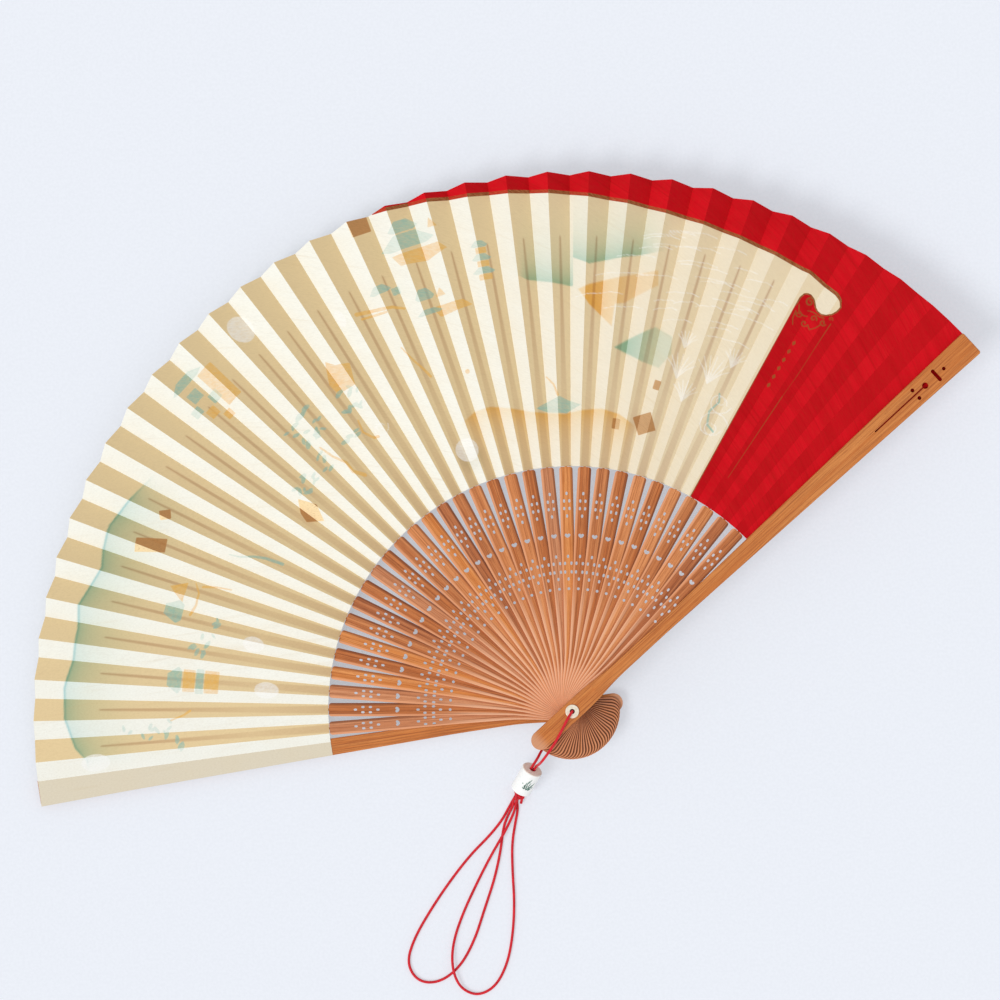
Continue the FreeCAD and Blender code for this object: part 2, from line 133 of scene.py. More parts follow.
# ---- materials: short names for the nodes they are made of ----
class Shader:
    """A material round one Principled shader."""

    def __init__(self, name):
        self.material = bpy.data.materials.new(name)
        self.material.use_nodes = True
        self.nodes = self.material.node_tree.nodes
        self.links = self.material.node_tree.links
        self.nodes.clear()
        self.surface = self.nodes.new("ShaderNodeBsdfPrincipled")
        output = self.nodes.new("ShaderNodeOutputMaterial")
        self.links.new(self.surface.outputs[0], output.inputs[0])

    def put(self, value, socket):
        """Links an output to a socket, or writes a number or colour on it."""
        if isinstance(value, bpy.types.NodeSocket):
            self.links.new(value, socket)
        elif isinstance(value, tuple) and len(value) == 3 and len(socket.default_value) == 4:
            socket.default_value = (*value, 1.0)
        else:
            socket.default_value = value

    def set(self, **values):
        """Puts values on the Principled shader's sockets: base_color is its socket Base Color."""
        for name, value in values.items():
            words = name.replace("_", " ").title().replace("Ior", "IOR")
            self.put(value, self.surface.inputs[words])
        return self.material

    def object_place(self, turn=0.0):
        """Place in the row frame at rest, in millimetres, turned about Z by minus that angle."""
        coordinate = self.nodes.new("ShaderNodeTexCoord")
        mapping = self.nodes.new("ShaderNodeMapping")
        mapping.inputs["Rotation"].default_value = (0, 0, -radians(turn))
        mapping.inputs["Scale"].default_value = (1 / MM,) * 3
        self.links.new(coordinate.outputs["Object"], mapping.inputs["Vector"])
        return mapping.outputs[0]

    def stretched(self, place, scale, shift=(0, 0, 0)):
        mapping = self.nodes.new("ShaderNodeMapping")
        mapping.inputs["Scale"].default_value = scale
        mapping.inputs["Location"].default_value = shift
        self.links.new(place, mapping.inputs["Vector"])
        return mapping.outputs[0]

    def noise(self, place, scale=1.0, detail=3.0, roughness=0.5, distortion=0.0):
        node = self.nodes.new("ShaderNodeTexNoise")
        self.links.new(place, node.inputs["Vector"])
        node.inputs["Scale"].default_value = scale
        node.inputs["Detail"].default_value = detail
        node.inputs["Roughness"].default_value = roughness
        node.inputs["Distortion"].default_value = distortion
        return node.outputs["Fac"]

    def math(self, operation, *values):
        node = self.nodes.new("ShaderNodeMath")
        node.operation = operation
        for value, socket in zip(values, node.inputs):
            self.put(value, socket)
        return node.outputs[0]

    def times(self, *values):
        return self.math("MULTIPLY", *values)

    def plus(self, *values):
        return self.math("ADD", *values)

    def minus(self, *values):
        return self.math("SUBTRACT", *values)

    def between(self, value, low, high, to_low=0.0, to_high=1.0):
        """Smooth step from to_low at low to to_high at high."""
        node = self.nodes.new("ShaderNodeMapRange")
        node.interpolation_type = "SMOOTHSTEP"
        for number, socket in zip((value, low, high, to_low, to_high), node.inputs):
            self.put(number, socket)
        return node.outputs[0]

    def mix(self, share, a, b, kind="MIX"):
        node = self.nodes.new("ShaderNodeMix")
        node.data_type = "RGBA"
        node.blend_type = kind
        self.put(share, node.inputs[0])
        self.put(a, node.inputs[6])
        self.put(b, node.inputs[7])
        return node.outputs[2]

    def tint(self, colour, tone, value, low, high, most=1.0):
        """colour with tone mixed in: none of it where value is low, and a share of most where it is high."""
        return self.mix(self.between(value, low, high, 0.0, most), colour, tone)

    def parts(self, vector):
        node = self.nodes.new("ShaderNodeSeparateXYZ")
        self.links.new(vector, node.inputs[0])
        return node.outputs

    def attribute(self, name, output="Vector"):
        node = self.nodes.new("ShaderNodeAttribute")
        node.attribute_name = name
        return node.outputs[output]

    def bump(self, height, distance, strength=1.0):
        """Bumps that high, in millimetres, where height goes from 0 to 1."""
        node = self.nodes.new("ShaderNodeBump")
        node.inputs["Strength"].default_value = strength
        node.inputs["Distance"].default_value = distance * MM
        self.links.new(height, node.inputs["Height"])
        return node.outputs[0]


RIB_HALF, RIB_TAIL, RIB_HEAD_HALF = 2.6, 19.0, 3.6
WAIST_HALF, NECK_START, NECK_END = 2.15, 4.0, 26.0


def bamboo(name, turn, light, middle, dark, seed, half_width=None):
    """Oiled bamboo whose grain runs along a stick that points in that direction. Given half_width, a rib also gets
    painted highlights along its own edges and painted shadows where the next rib's edge lies over it.
    """
    s = Shader(name)
    place = s.object_place(turn)
    shift = (seed * 3.7, seed * 11.3, seed * 1.9)
    broad = s.noise(s.stretched(place, (0.012, 0.75, 0.5), shift), detail=2)
    streak = s.noise(s.stretched(place, (0.03, 2.6, 1.2), shift), detail=4, roughness=0.6, distortion=0.2)
    fibre = s.noise(s.stretched(place, (0.10, 9.0, 4.0), shift), detail=3, roughness=0.65)
    fleck = s.noise(s.stretched(place, (0.35, 13.0, 5.0), shift), detail=2)
    colour = s.mix(s.between(broad, 0.30, 0.70), middle, light)
    colour = s.tint(colour, dark, streak, 0.46, 0.66, 0.85)
    colour = s.tint(colour, light, streak, 0.44, 0.30, 0.50)
    colour = s.tint(colour, light, fibre, 0.46, 0.30, 0.50)
    colour = s.tint(colour, dark, fibre, 0.52, 0.64, 0.75)
    colour = s.tint(colour, tuple(c * 0.35 for c in dark), fleck, 0.64, 0.72, 0.55)
    along, across, _ = s.parts(place)
    if half_width:
        # painted highlight along the rib's left edge, which faces the lamp, and painted shadow along its right
        # edge, where the next rib's edge lies
        lit_edge = s.between(across, half_width - 1.2, half_width - 0.5, 0.0, 0.70)
        shadow_edge = s.times(
            s.between(across, 1.1 - half_width, 0.35 - half_width, 0.0, 0.80), s.between(along, 0.0, 12.0),
        )
        colour = s.mix(lit_edge, colour, srgb(238, 168, 124))
        colour = s.mix(shadow_edge, colour, tuple(c * 0.60 for c in dark))
        # what shows of a head or blade is a sliver, from its own edge (0) to the next one's edge (1)
        lean = radians(PITCH)

        def in_head(x, y):
            past_round = s.math("MINIMUM", s.plus(x, RIB_TAIL - RIB_HEAD_HALF), 0.0)
            squares = s.plus(s.math("POWER", past_round, 2.0), s.math("POWER", s.math("ABSOLUTE", y), 2.0))
            return s.minus(RIB_HEAD_HALF, s.math("SQRT", squares))

        def shade(tone, where, share, low, high, most):
            """The colour with tone mixed in, up to most, as the share of the sliver goes from low to high."""
            return s.mix(s.times(where, s.between(share, low, high, 0.0, most)), colour, tone)

        inside = in_head(along, across)
        inside_next = in_head(
            s.minus(along, s.times(across, lean)),
            s.plus(across, s.times(along, lean)),
        )
        sliver = s.math("MAXIMUM", s.minus(inside, inside_next), 0.12)
        head_share = s.math("DIVIDE", inside, sliver)
        head = s.between(along, 0.5, -4.0)
        # painted shadow on each head where the next one's edge lies over it, and a painted highlight along its own
        # edge
        colour = shade(tuple(c * 0.42 for c in dark), head, head_share, 0.38, 0.62, 0.92)
        colour = shade(srgb(220, 148, 106), head, head_share, 0.52, 0.30, 0.80)
        opened = s.math("MAXIMUM", s.times(along, lean), 0.15)
        own_half = s.between(along, NECK_START, NECK_END, RIB_HEAD_HALF, WAIST_HALF)
        blade_share = s.math("DIVIDE", s.minus(own_half, across), opened)
        waist = s.times(s.between(along, 58.0, 30.0), s.between(along, 1.0, 5.0))
        # on the blades' waists too: a painted highlight along their own edge and a painted shadow towards the next
        # rib's edge
        colour = shade(srgb(248, 196, 160), waist, blade_share, 0.50, 0.28, 0.55)
        colour = shade(srgb(176, 96, 54), waist, blade_share, 0.62, 0.90, 0.60)
    else:
        worn = s.between(along, -14.0, -18.5, 0.0, 0.55)
        colour = s.mix(worn, colour, srgb(222, 172, 140))
    height = s.plus(s.times(streak, 0.5), s.times(fibre, 0.5))
    return s.set(
        base_color=colour, roughness=s.between(fibre, 0.3, 0.7, 0.40, 0.58),
        specular_ior_level=0.30, coat_weight=0.05, coat_roughness=0.30, normal=s.bump(height, 0.05, 0.8),
    )


def red_cord():
    """Tightly braided red cord, with painted shadows between its threads and paler painted highlights on them."""
    s = Shader("cord_red")
    place = s.object_place()
    along = s.noise(place, 0.35, 2)
    thread_light_and_shade = s.noise(place, 3.4, 3, 0.6, 0.8)
    coordinate = s.nodes.new("ShaderNodeTexCoord")
    braid = s.nodes.new("ShaderNodeTexChecker")
    braid.inputs["Scale"].default_value = 1.0
    s.links.new(s.stretched(coordinate.outputs["UV"], (220.0, 8.0, 1.0)), braid.inputs["Vector"])
    colour = s.mix(s.between(along, 0.3, 0.7), srgb(204, 6, 30), srgb(222, 16, 38))
    # painted shadow and painted highlight on the threads, from one noise
    colour = s.tint(colour, srgb(140, 2, 18), thread_light_and_shade, 0.50, 0.72, 0.5)
    colour = s.tint(colour, srgb(238, 60, 70), thread_light_and_shade, 0.50, 0.30, 0.35)
    height = s.plus(s.times(braid.outputs["Fac"], 0.35), thread_light_and_shade)
    return s.set(
        base_color=colour, roughness=s.between(thread_light_and_shade, 0.3, 0.7, 0.42, 0.62),
        specular_ior_level=0.35, sheen_weight=0.06, sheen_roughness=0.4, normal=s.bump(height, 0.08, 0.7),
    )


cord_material = red_cord()

# ---- the strap: cords and knot ----
CORD_R = 0.525
TABLE_CORD = CORD_R + 0.005
OVER_HEAD, OVER_LIP = 0.195, 0.355   # how far the neck cord's points pass above the front head and the flange
STRAND = CORD_R + 0.055             # each strand's distance from the bead's axis
HEADING, LEAN = radians(61.0), radians(30.0)
bead_axis = Vector((
    cos(HEADING) * cos(LEAN), sin(HEADING) * cos(LEAN), sin(LEAN),
))
bead_side = Vector((sin(HEADING), -cos(HEADING), 0))
bead_up = bead_side.cross(bead_axis)
BEAD_R, BEAD_LENGTH = 4.15, 11.0
bead_low = Vector((-19.86, -31.46, BEAD_R * cos(LEAN)))
bead_high = bead_low + bead_axis * BEAD_LENGTH
knot_high = bead_low - bead_axis * 0.25
knot_low = knot_high - bead_axis * 3.6


def cord_curve(name, points, radius=CORD_R):
    """A round cord on a NURBS line whose control points are given in millimetres."""
    curve = bpy.data.curves.new(name, "CURVE")
    curve.dimensions = "3D"
    spline = curve.splines.new("NURBS")
    spline.points.add(len(points) - 1)
    for knot_point, at in zip(spline.points, points):
        knot_point.co = (*(Vector(at) * MM), 1.0)
    spline.order_u = 3
    spline.use_endpoint_u = True
    spline.resolution_u = 14
    curve.bevel_depth = radius * MM
    curve.bevel_resolution = 6
    curve.use_fill_caps = True
    curve.materials.append(cord_material)
    obj = new_object(name, curve)
    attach(obj, "back_guard")
    return obj


def knot_exit(side, up, out):
    return knot_low + bead_side * (side * STRAND) + bead_up * (up * STRAND) - bead_axis * out


front = bead_side * STRAND
back = -front
head_top = FRONT_HEAD_TOP + CORD_R + OVER_HEAD
over = FLANGE_TOP + CORD_R + OVER_LIP
bore = over - TABLE_CORD
play = 1.0 - CORD_R
neck_points = [
    knot_high + front, bead_low + bead_axis * 4.6 + front * 1.06, bead_low + bead_axis * 10.0 + front,
    bead_high + bead_axis * 2.4 + front * 1.3, (-13.2, -21.2, 15.4), (-12.4, -20.3, head_top - 3.4),
    (-10.95, -18.35, head_top + 0.1), (-7.4, -13.4, head_top + 0.12), (-4.9, -9.0, head_top + 0.2),
    (-2.6, -4.4, over + 0.1), (-1.3, -1.9, over), (0.0, 0.0, over - 0.1),
    (0.25 * play, 0.30 * play, TABLE_CORD + 0.89 * bore), (0.55 * play, 0.60 * play, TABLE_CORD + 0.71 * bore),
    (0.60 * play, 0.60 * play, TABLE_CORD + 0.39 * bore), (0.25 * play, 0.30 * play, TABLE_CORD + 0.12 * bore),
    (0.0, 0.0, TABLE_CORD + 0.02), (-1.6, -2.2, TABLE_CORD), (-4.3, -5.9, TABLE_CORD + 0.1), (-7.2, -9.8, 1.8),
    (-10.0, -13.4, 4.4), (-12.0, -16.3, 7.6), (-13.4, -19.0, 9.9), bead_high + bead_axis * 1.5 + back * 1.15,
    bead_low + bead_axis * 10.0 + back, bead_low + bead_axis * 4.6 + back * 1.06, knot_high + back,
]
flat = TABLE_CORD
crossing = TABLE_CORD + 2 * CORD_R + 0.27
loop_left_points = [
    knot_exit(-1, -1, 0.0), knot_exit(-1, -1, 1.6), (-24.3, -38.2, flat), (-27.2, -43.6, flat),
    (-32.2, -49.8, flat), (-39.6, -57.2, flat), (-47.4, -67.2, flat), (-55.0, -78.4, flat),
    (-61.8, -90.2, flat), (-64.6, -99.8, flat), (-60.2, -107.0, flat), (-51.8, -107.4, flat),
    (-43.6, -101.2, flat), (-37.9, -90.6, flat), (-34.1, -78.6, flat), (-30.1, -66.6, flat),
    (-27.7, -55.4, flat), (-26.7, -46.4, flat), (-24.9, -41.6, 0.62), (-22.9, -38.0, 1.15),
    knot_exit(-1, 1, 1.6), knot_exit(-1, 1, 0.0),
]
loop_right_points = [
    knot_exit(1, 1, 0.0), knot_exit(1, 1, 1.6), (-22.0, -39.0, 1.9), (-23.8, -43.4, crossing),
    (-26.3, -48.4, crossing), (-29.6, -54.0, crossing), (-33.0, -60.2, 0.9), (-37.6, -69.4, flat),
    (-42.4, -79.8, flat), (-46.0, -90.0, 0.8), (-47.0, -98.4, crossing), (-45.6, -105.6, crossing),
    (-42.2, -110.4, 0.8), (-36.2, -112.4, flat), (-29.6, -108.8, flat), (-25.0, -99.8, flat),
    (-22.9, -88.2, flat), (-22.3, -75.6, flat), (-23.1, -63.4, flat), (-23.3, -52.8, flat),
    (-22.0, -44.6, flat), (-20.9, -39.2, flat), knot_exit(1, -1, 1.6), knot_exit(1, -1, 0.0),
]
neck = cord_curve("strap_neck_cord", neck_points)
loop_left = cord_curve("strap_loop_left_cord", loop_left_points)
loop_right = cord_curve("strap_loop_right_cord", loop_right_points)
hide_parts("strap_neck")
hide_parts("strap_loop_left")
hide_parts("strap_loop_right")


def by_knot(side, up, down):
    """A point beside the knot: millimetres to its side, above its axis, and down from the bead."""
    return bead_low + bead_side * side + bead_up * up - bead_axis * down


WRAP_R = 1.42
wrap_points = [by_knot(0.9, 0.1, 0.9)]
for eighth in range(1, 18):
    turn = radians(45 * eighth)
    wrap_points.append(by_knot(
        WRAP_R * cos(turn), WRAP_R * sin(turn),
        0.95 + eighth * 0.125 + 0.55 * cos(turn),
    ))
wrap_points.append(by_knot(0.5, 0.2, 3.2))
knot_wrap = cord_curve("strap_knot_wrap", wrap_points)
knot_over = cord_curve("strap_knot_over", [
    by_knot(-0.9, 0.4, 0.55), by_knot(-1.1, 1.1, 1.1), by_knot(-0.7, 1.95, 1.9),
    by_knot(0.0, 1.9, 3.0), by_knot(0.3, 1.2, 4.0), by_knot(0.3, 0.55, 4.6),
])
end_upper = cord_curve("strap_knot_end_upper", [
    by_knot(0.6, 0.3, 1.2), by_knot(1.7, 0.5, 1.3), by_knot(2.3, 0.3, 2.0), by_knot(2.35, 0.1, 2.9),
])
end_lower = cord_curve("strap_knot_end_lower", [
    by_knot(0.7, -0.2, 2.3), by_knot(1.7, 0.0, 2.6), by_knot(2.3, 0.1, 3.7), by_knot(2.75, -0.15, 5.5),
])
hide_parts("strap_knot")

# ---- ceramic bead ----
AXIS_LOW = bead_low.dot(bead_axis)


def bead_glaze():
    """White glaze with a bare clay end, where the bead stood clear of it in the kiln."""
    s = Shader("bead_glaze")
    place = s.object_place()
    along = s.nodes.new("ShaderNodeVectorMath")
    along.operation = "DOT_PRODUCT"
    s.links.new(place, along.inputs[0])
    along.inputs[1].default_value = bead_axis
    mottle = s.noise(place, 0.9, 4, 0.6)
    grit = s.noise(place, 7.0, 4, 0.7)
    up_axis = s.minus(along.outputs["Value"], AXIS_LOW)
    edge = s.plus(up_axis, s.times(s.minus(mottle, 0.5), 0.25))
    bare = s.between(edge, BEAD_LENGTH - 0.34, BEAD_LENGTH - 0.18)
    low_bare = s.between(edge, 0.16, 0.04)
    clay_share = s.math("MAXIMUM", bare, low_bare)
    glaze = s.mix(s.between(mottle, 0.3, 0.7), srgb(240, 242, 241), srgb(250, 250, 247))
    clay = s.mix(s.between(grit, 0.35, 0.65), srgb(240, 226, 214), srgb(250, 241, 232))
    clay = s.tint(clay, srgb(214, 190, 174), grit, 0.60, 0.70, 0.4)
    height = s.mix(clay_share, s.times(mottle, 0.6), grit)
    return s.set(
        base_color=s.mix(clay_share, glaze, clay),
        roughness=s.between(clay_share, 0.0, 1.0, 0.16, 0.85),
        normal=s.bump(height, 0.05, 0.5),
    )


dress("strap_bead", bead_glaze())


def mesh_object(name, vertices, faces, material, smooth=True):
    mesh = bpy.data.meshes.new(name)
    mesh.from_pydata([tuple(v) for v in vertices], [], faces)
    mesh.materials.append(material)
    mesh.update()
    for face in mesh.polygons:
        face.use_smooth = smooth
    return new_object(name, mesh)


def sprig_ink():
    s = Shader("sprig_ink")
    place = s.object_place()
    wash = s.noise(place, 1.6, 4, 0.6)
    colour = s.mix(s.between(wash, 0.35, 0.65), srgb(58, 94, 80), srgb(128, 160, 148))
    colour = s.tint(colour, srgb(66, 82, 40), wash, 0.58, 0.72, 0.8)
    return s.set(
        base_color=colour, roughness=s.between(wash, 0.3, 0.7, 0.18, 0.30), normal=s.bump(wash, 0.02, 0.4),
    )


def bead_point(along, turn, lift=0.035):
    """A point on the bead's side: millimetres up from its lower end, and degrees round from its top line."""
    angle = radians(turn)
    outwards = bead_up * cos(angle) + bead_side * sin(angle)
    return bead_low + bead_axis * along + outwards * (BEAD_R + lift)


# each leaf of the sprig: (start along, start turn, end along, end turn, half width in millimetres)
SPRIG = [
    (3.7, 12, 5.4, 2, 0.30), (3.9, 8, 6.9, 9, 0.22), (3.6, 19, 6.0, 17, 0.26), (3.5, 27, 5.3, 31, 0.32),
    (4.0, 34, 6.4, 43, 0.26), (5.0, 40, 7.3, 53, 0.18), (5.8, 14, 8.0, 18, 0.20), (6.6, 18, 9.0, 27, 0.18),
    (3.4, 31, 4.3, 46, 0.30), (3.5, 10, 4.2, -4, 0.22), (5.4, -7, 6.0, -13, 0.14), (4.9, 25, 7.4, 31, 0.17),
    (3.3, 20, 4.2, 24, 0.26), (4.6, 44, 5.2, 54, 0.22),
]
sprig_vertices, sprig_faces = [], []
for along_0, turn_0, along_1, turn_1, half in SPRIG:
    spread_turn = hypot(along_1 - along_0, radians(turn_1 - turn_0) * BEAD_R)
    across = (
        -radians(turn_1 - turn_0) * BEAD_R / spread_turn,
        degrees((along_1 - along_0) / spread_turn / BEAD_R),
    )
    first = len(sprig_vertices)
    steps = 9
    for n in range(steps):
        t = n / (steps - 1)
        width = half * sin(pi * min(1.0, 0.08 + t * 0.9)) ** 0.8
        for side in (-1, 0, 1):
            sprig_vertices.append(bead_point(
                along_0 + t * (along_1 - along_0) + side * width * across[0],
                turn_0 + t * (turn_1 - turn_0) + side * width * across[1],
            ) * MM)
    for n in range(steps - 1):
        for k in (0, 1):
            a = first + n * 3 + k
            sprig_faces.append((a, a + 1, a + 4, a + 3))
sprig = mesh_object("bead_sprig", sprig_vertices, sprig_faces, sprig_ink())
sprig_shell = sprig.modifiers.new("glaze", "SOLIDIFY")
sprig_shell.thickness = 0.05 * MM
sprig_shell.offset = 0
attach(sprig, "back_guard")

# ---- bamboo sticks ----
# tones of bamboo, oiled: (light, middle, dark)
TONES = [
    (srgb(226, 150, 94), srgb(206, 126, 70), srgb(164, 88, 40)),
    (srgb(212, 136, 82), srgb(190, 110, 58), srgb(146, 76, 34)),
    (srgb(198, 122, 74), srgb(174, 96, 50), srgb(130, 64, 28)),
    (srgb(220, 152, 108), srgb(198, 124, 80), srgb(156, 88, 50)),
    (srgb(232, 154, 88), srgb(212, 126, 56), srgb(170, 88, 30)),
    (srgb(206, 126, 70), srgb(184, 100, 44), srgb(138, 68, 24)),
]
picker = random.Random(11)
last_tone = None
for i in range(1, RIBS + 1):
    tone = picker.choice([t for t in range(len(TONES)) if t != last_tone])
    last_tone = tone
    dress(f"rib_{i:02d}", bamboo(f"bamboo_rib_{i:02d}", rib_angle(i), *TONES[tone], seed=i, half_width=RIB_HALF))

GUARD_TONE = (srgb(214, 136, 70), srgb(200, 114, 48), srgb(160, 84, 34))
for name, angle, seed in (("back_guard", BACK_ANGLE, 41), ("front_guard", rib_angle(RIBS + 1), 47)):
    dress(name, bamboo(f"bamboo_{name}", angle, *GUARD_TONE, seed=seed))


# ---- eyelet ----
def enamel():
    """Cream enamel over metal, worn through in specks."""
    s = Shader("eyelet_enamel")
    place = s.object_place()
    cloud = s.noise(place, 1.1, 3)
    speck = s.noise(place, 6.0, 3, 0.7)
    worn = s.between(speck, 0.70, 0.74)
    colour = s.mix(s.between(cloud, 0.3, 0.7), srgb(226, 214, 190), srgb(242, 233, 214))
    return s.set(
        base_color=s.mix(worn, colour, srgb(176, 150, 104)), metallic=s.times(worn, 0.8),
        roughness=s.between(speck, 0.3, 0.7, 0.24, 0.40), coat_weight=0.3,
        normal=s.bump(s.plus(cloud, worn), 0.02, 0.5),
    )


enamel_material = enamel()
for name in ("pivot_eyelet", "pivot_washer"):
    dress(name, enamel_material)


# ---- the leaf's painting, on a chart of angle (degrees) and distance from the pivot (millimetres) ----
def to_segment(x, y, start, end):
    """How far along a straight line each point lies, from 0 to 1, and how far it is from the line."""
    (ax, ay), (bx, by) = start, end
    ex, ey = bx - ax, by - ay
    t = np.clip(((x - ax) * ex + (y - ay) * ey) / (ex * ex + ey * ey), 0, 1)
    return t, np.hypot(x - ax - t * ex, y - ay - t * ey)


def polygon(*corners):
    """Distance to a polygon, negative inside."""
    def distance(x, y):
        nearest = np.full(x.shape, 1e9)
        inside = np.zeros(x.shape, bool)
        for (ax, ay), (bx, by) in zip(corners, corners[1:] + corners[:1]):
            nearest = np.minimum(nearest, to_segment(x, y, (ax, ay), (bx, by))[1])
            if by != ay:
                inside ^= ((ay > y) != (by > y)) & (x < (bx - ax) * (y - ay) / (by - ay) + ax)
        return np.where(inside, -nearest, nearest)
    return distance


def stroke(half, *points):
    """Distance to a brush stroke through points, negative inside; half is its half width at each end."""
    ends = half if isinstance(half, tuple) else (half, half)
    def distance(x, y):
        nearest = np.full(x.shape, 1e9)
        runs = len(points) - 1
        for n, (start, end) in enumerate(zip(points, points[1:])):
            t, off = to_segment(x, y, start, end)
            width = ends[0] + (ends[1] - ends[0]) * (n + t) / runs
            nearest = np.minimum(nearest, off - width)
        return nearest
    return distance


def blob(radius_x, radius_y, x0=0.0, y0=0.0):
    """About the distance to an ellipse, negative inside."""
    def distance(x, y):
        share = np.hypot((x - x0) / radius_x, (y - y0) / radius_y)
        return (share - 1) * min(radius_x, radius_y)
    return distance


def curl(radius, turns, half, clockwise=True):
    """A spiral brush stroke that winds inwards."""
    sign = -1 if clockwise else 1
    steps = int(turns * 12)
    points = []
    for n in range(steps + 1):
        t = n / steps
        angle = sign * 2 * pi * turns * t
        points.append((radius * (1 - 0.78 * t) * cos(angle), radius * (1 - 0.78 * t) * sin(angle)))
    return stroke(half, *points)


FAR = -8.0                          # millimetres inside, for a point far outside


class Ink:
    """One ink of the painting: how many millimetres a point lies inside its shapes."""

    def __init__(self, angle, radius):
        self.angle, self.radius = angle, radius
        self.inside = np.full(radius.shape, FAR)

    def add(self, place, *shapes, tilt=0.0, window=40.0):
        """Shapes drawn upright about a place (angle, radius): x to the right, y outwards."""
        x = np.radians(place[0] - self.angle) * place[1]
        y = self.radius - place[1]
        near = (np.abs(x) < window) & (np.abs(y) < window)
        if not near.any():
            return
        c, s = cos(radians(tilt)), sin(radians(tilt))
        px, py = x[near] * c + y[near] * s, -x[near] * s + y[near] * c
        for shape in shapes:
            self.inside[near] = np.maximum(self.inside[near], -shape(px, py))


def step(value, low, high):
    t = np.clip((value - low) / (high - low), 0, 1)
    return t * t * (3 - 2 * t)


def fade(depth, length):
    """Falls from 1 at an edge towards 0 as the depth past it grows."""
    return np.exp(-np.clip(depth, 0, None) / length)


WEDGE_ANGLE = 61.2
BAND_TABLE = (
    (56.0, 190.6), (59.2, 191.5), (61.5, 193.0), (70.0, 194.6), (79.5, 197.0), (90.0, 200.9), (103.5, 204.6),
    (105.6, 205.8), (110.0, 207.4), (112.2, 208.4),
)
# the cream cloud that hooks into the red, as (angle, radius) round its outline
NOSE = (
    (64.0, 192.8), (61.45, 193.0), (59.3, 191.6), (57.7, 191.0), (56.9, 189.9), (56.5, 188.2), (56.6, 186.3), (
        56.9, 184.4,
    ),
    (57.4, 183.0), (57.9, 182.4), (58.4, 182.7), (58.8, 183.6), (59.1, 184.8), (59.5, 186.1), (60.1, 186.9), (
        60.6, 186.7,
    ),
    (61.0, 185.9), (61.2, 184.2), (61.6, 181.0), (64.0, 181.0),
)

NOSE_ANGLE, NOSE_RADIUS = 60.0, 187.0       # about its middle, where its angles become millimetres


def red_ground(angle, radius):
    """Millimetres inside the red ground.

    It is a wedge by the front guard and a band along the top, less a cloud's nose."""
    wedge = np.radians(WEDGE_ANGLE - angle) * radius
    edge = np.interp(angle, *zip(*BAND_TABLE))
    red = np.maximum(wedge, np.where(angle < 112.0, radius - edge, FAR))
    corners = [(radians(NOSE_ANGLE - a) * NOSE_RADIUS, r) for a, r in NOSE]
    nose = np.full(radius.shape, 99.0)
    near = (angle < 66.0) & (angle > 50.0)
    nose[near] = polygon(*corners)(np.radians(NOSE_ANGLE - angle[near]) * NOSE_RADIUS, radius[near]) - 0.25
    return np.minimum(red, nose)


def roof(w, h, y0=0.0):
    """A hipped roof with lifted eaves, w wide and h high, standing on y0."""
    return polygon((-w / 2, y0 + 0.25 * h), (-0.34 * w, y0), (0.34 * w, y0), (w / 2, y0 + 0.25 * h),
                   (0.20 * w, y0 + h), (-0.20 * w, y0 + h))


def block(w, h, x0=0.0, y0=0.0):
    return polygon((x0 - w / 2, y0), (x0 + w / 2, y0), (x0 + w / 2, y0 + h), (x0 - w / 2, y0 + h))


def quad(w, h, lean=0.0):
    return polygon((-w / 2, -h / 2), (w / 2 - lean, -h / 2 - lean), (w / 2, h / 2 - lean), (-w / 2 + lean, h / 2))


def leaf_spray(ink, place, count, width, height, size, seed):
    """A loose cluster of short brush leaves."""
    scatter = random.Random(seed)
    for _ in range(count):
        x, y = scatter.uniform(-width, width) / 2, scatter.uniform(-height, height) / 2
        lean = scatter.uniform(-60, 60)
        long_axis = size * scatter.uniform(0.8, 1.4)
        ink.add((place[0] - degrees(x / place[1]), place[1] + y), blob(long_axis, long_axis * 0.45),
                tilt=lean, window=6.0)


MOUNTAIN = ((186.0, 191.0), (184.5, 195.0), (181.0, 198.6), (177.6, 198.9), (174.3, 196.2), (170.6, 196.0),
            (168.0, 197.2), (165.2, 194.2), (163.2, 192.0), (161.2, 193.9), (158.2, 194.6), (155.2, 192.0),
            (151.2, 188.0))
PEAK = ((97.0, 170.6), (95.9, 168.7), (89.9, 165.2), (89.8, 176.5), (87.8, 174.2), (81.3, 179.4), (79.0, 182.0))
HILL = ((112.0, 119.0), (108.0, 122.4), (105.0, 122.6), (101.5, 120.2), (98.0, 117.6), (95.0, 116.4),
        (91.5, 115.6), (88.0, 117.2), (84.5, 118.2), (81.0, 117.0), (77.0, 113.0))


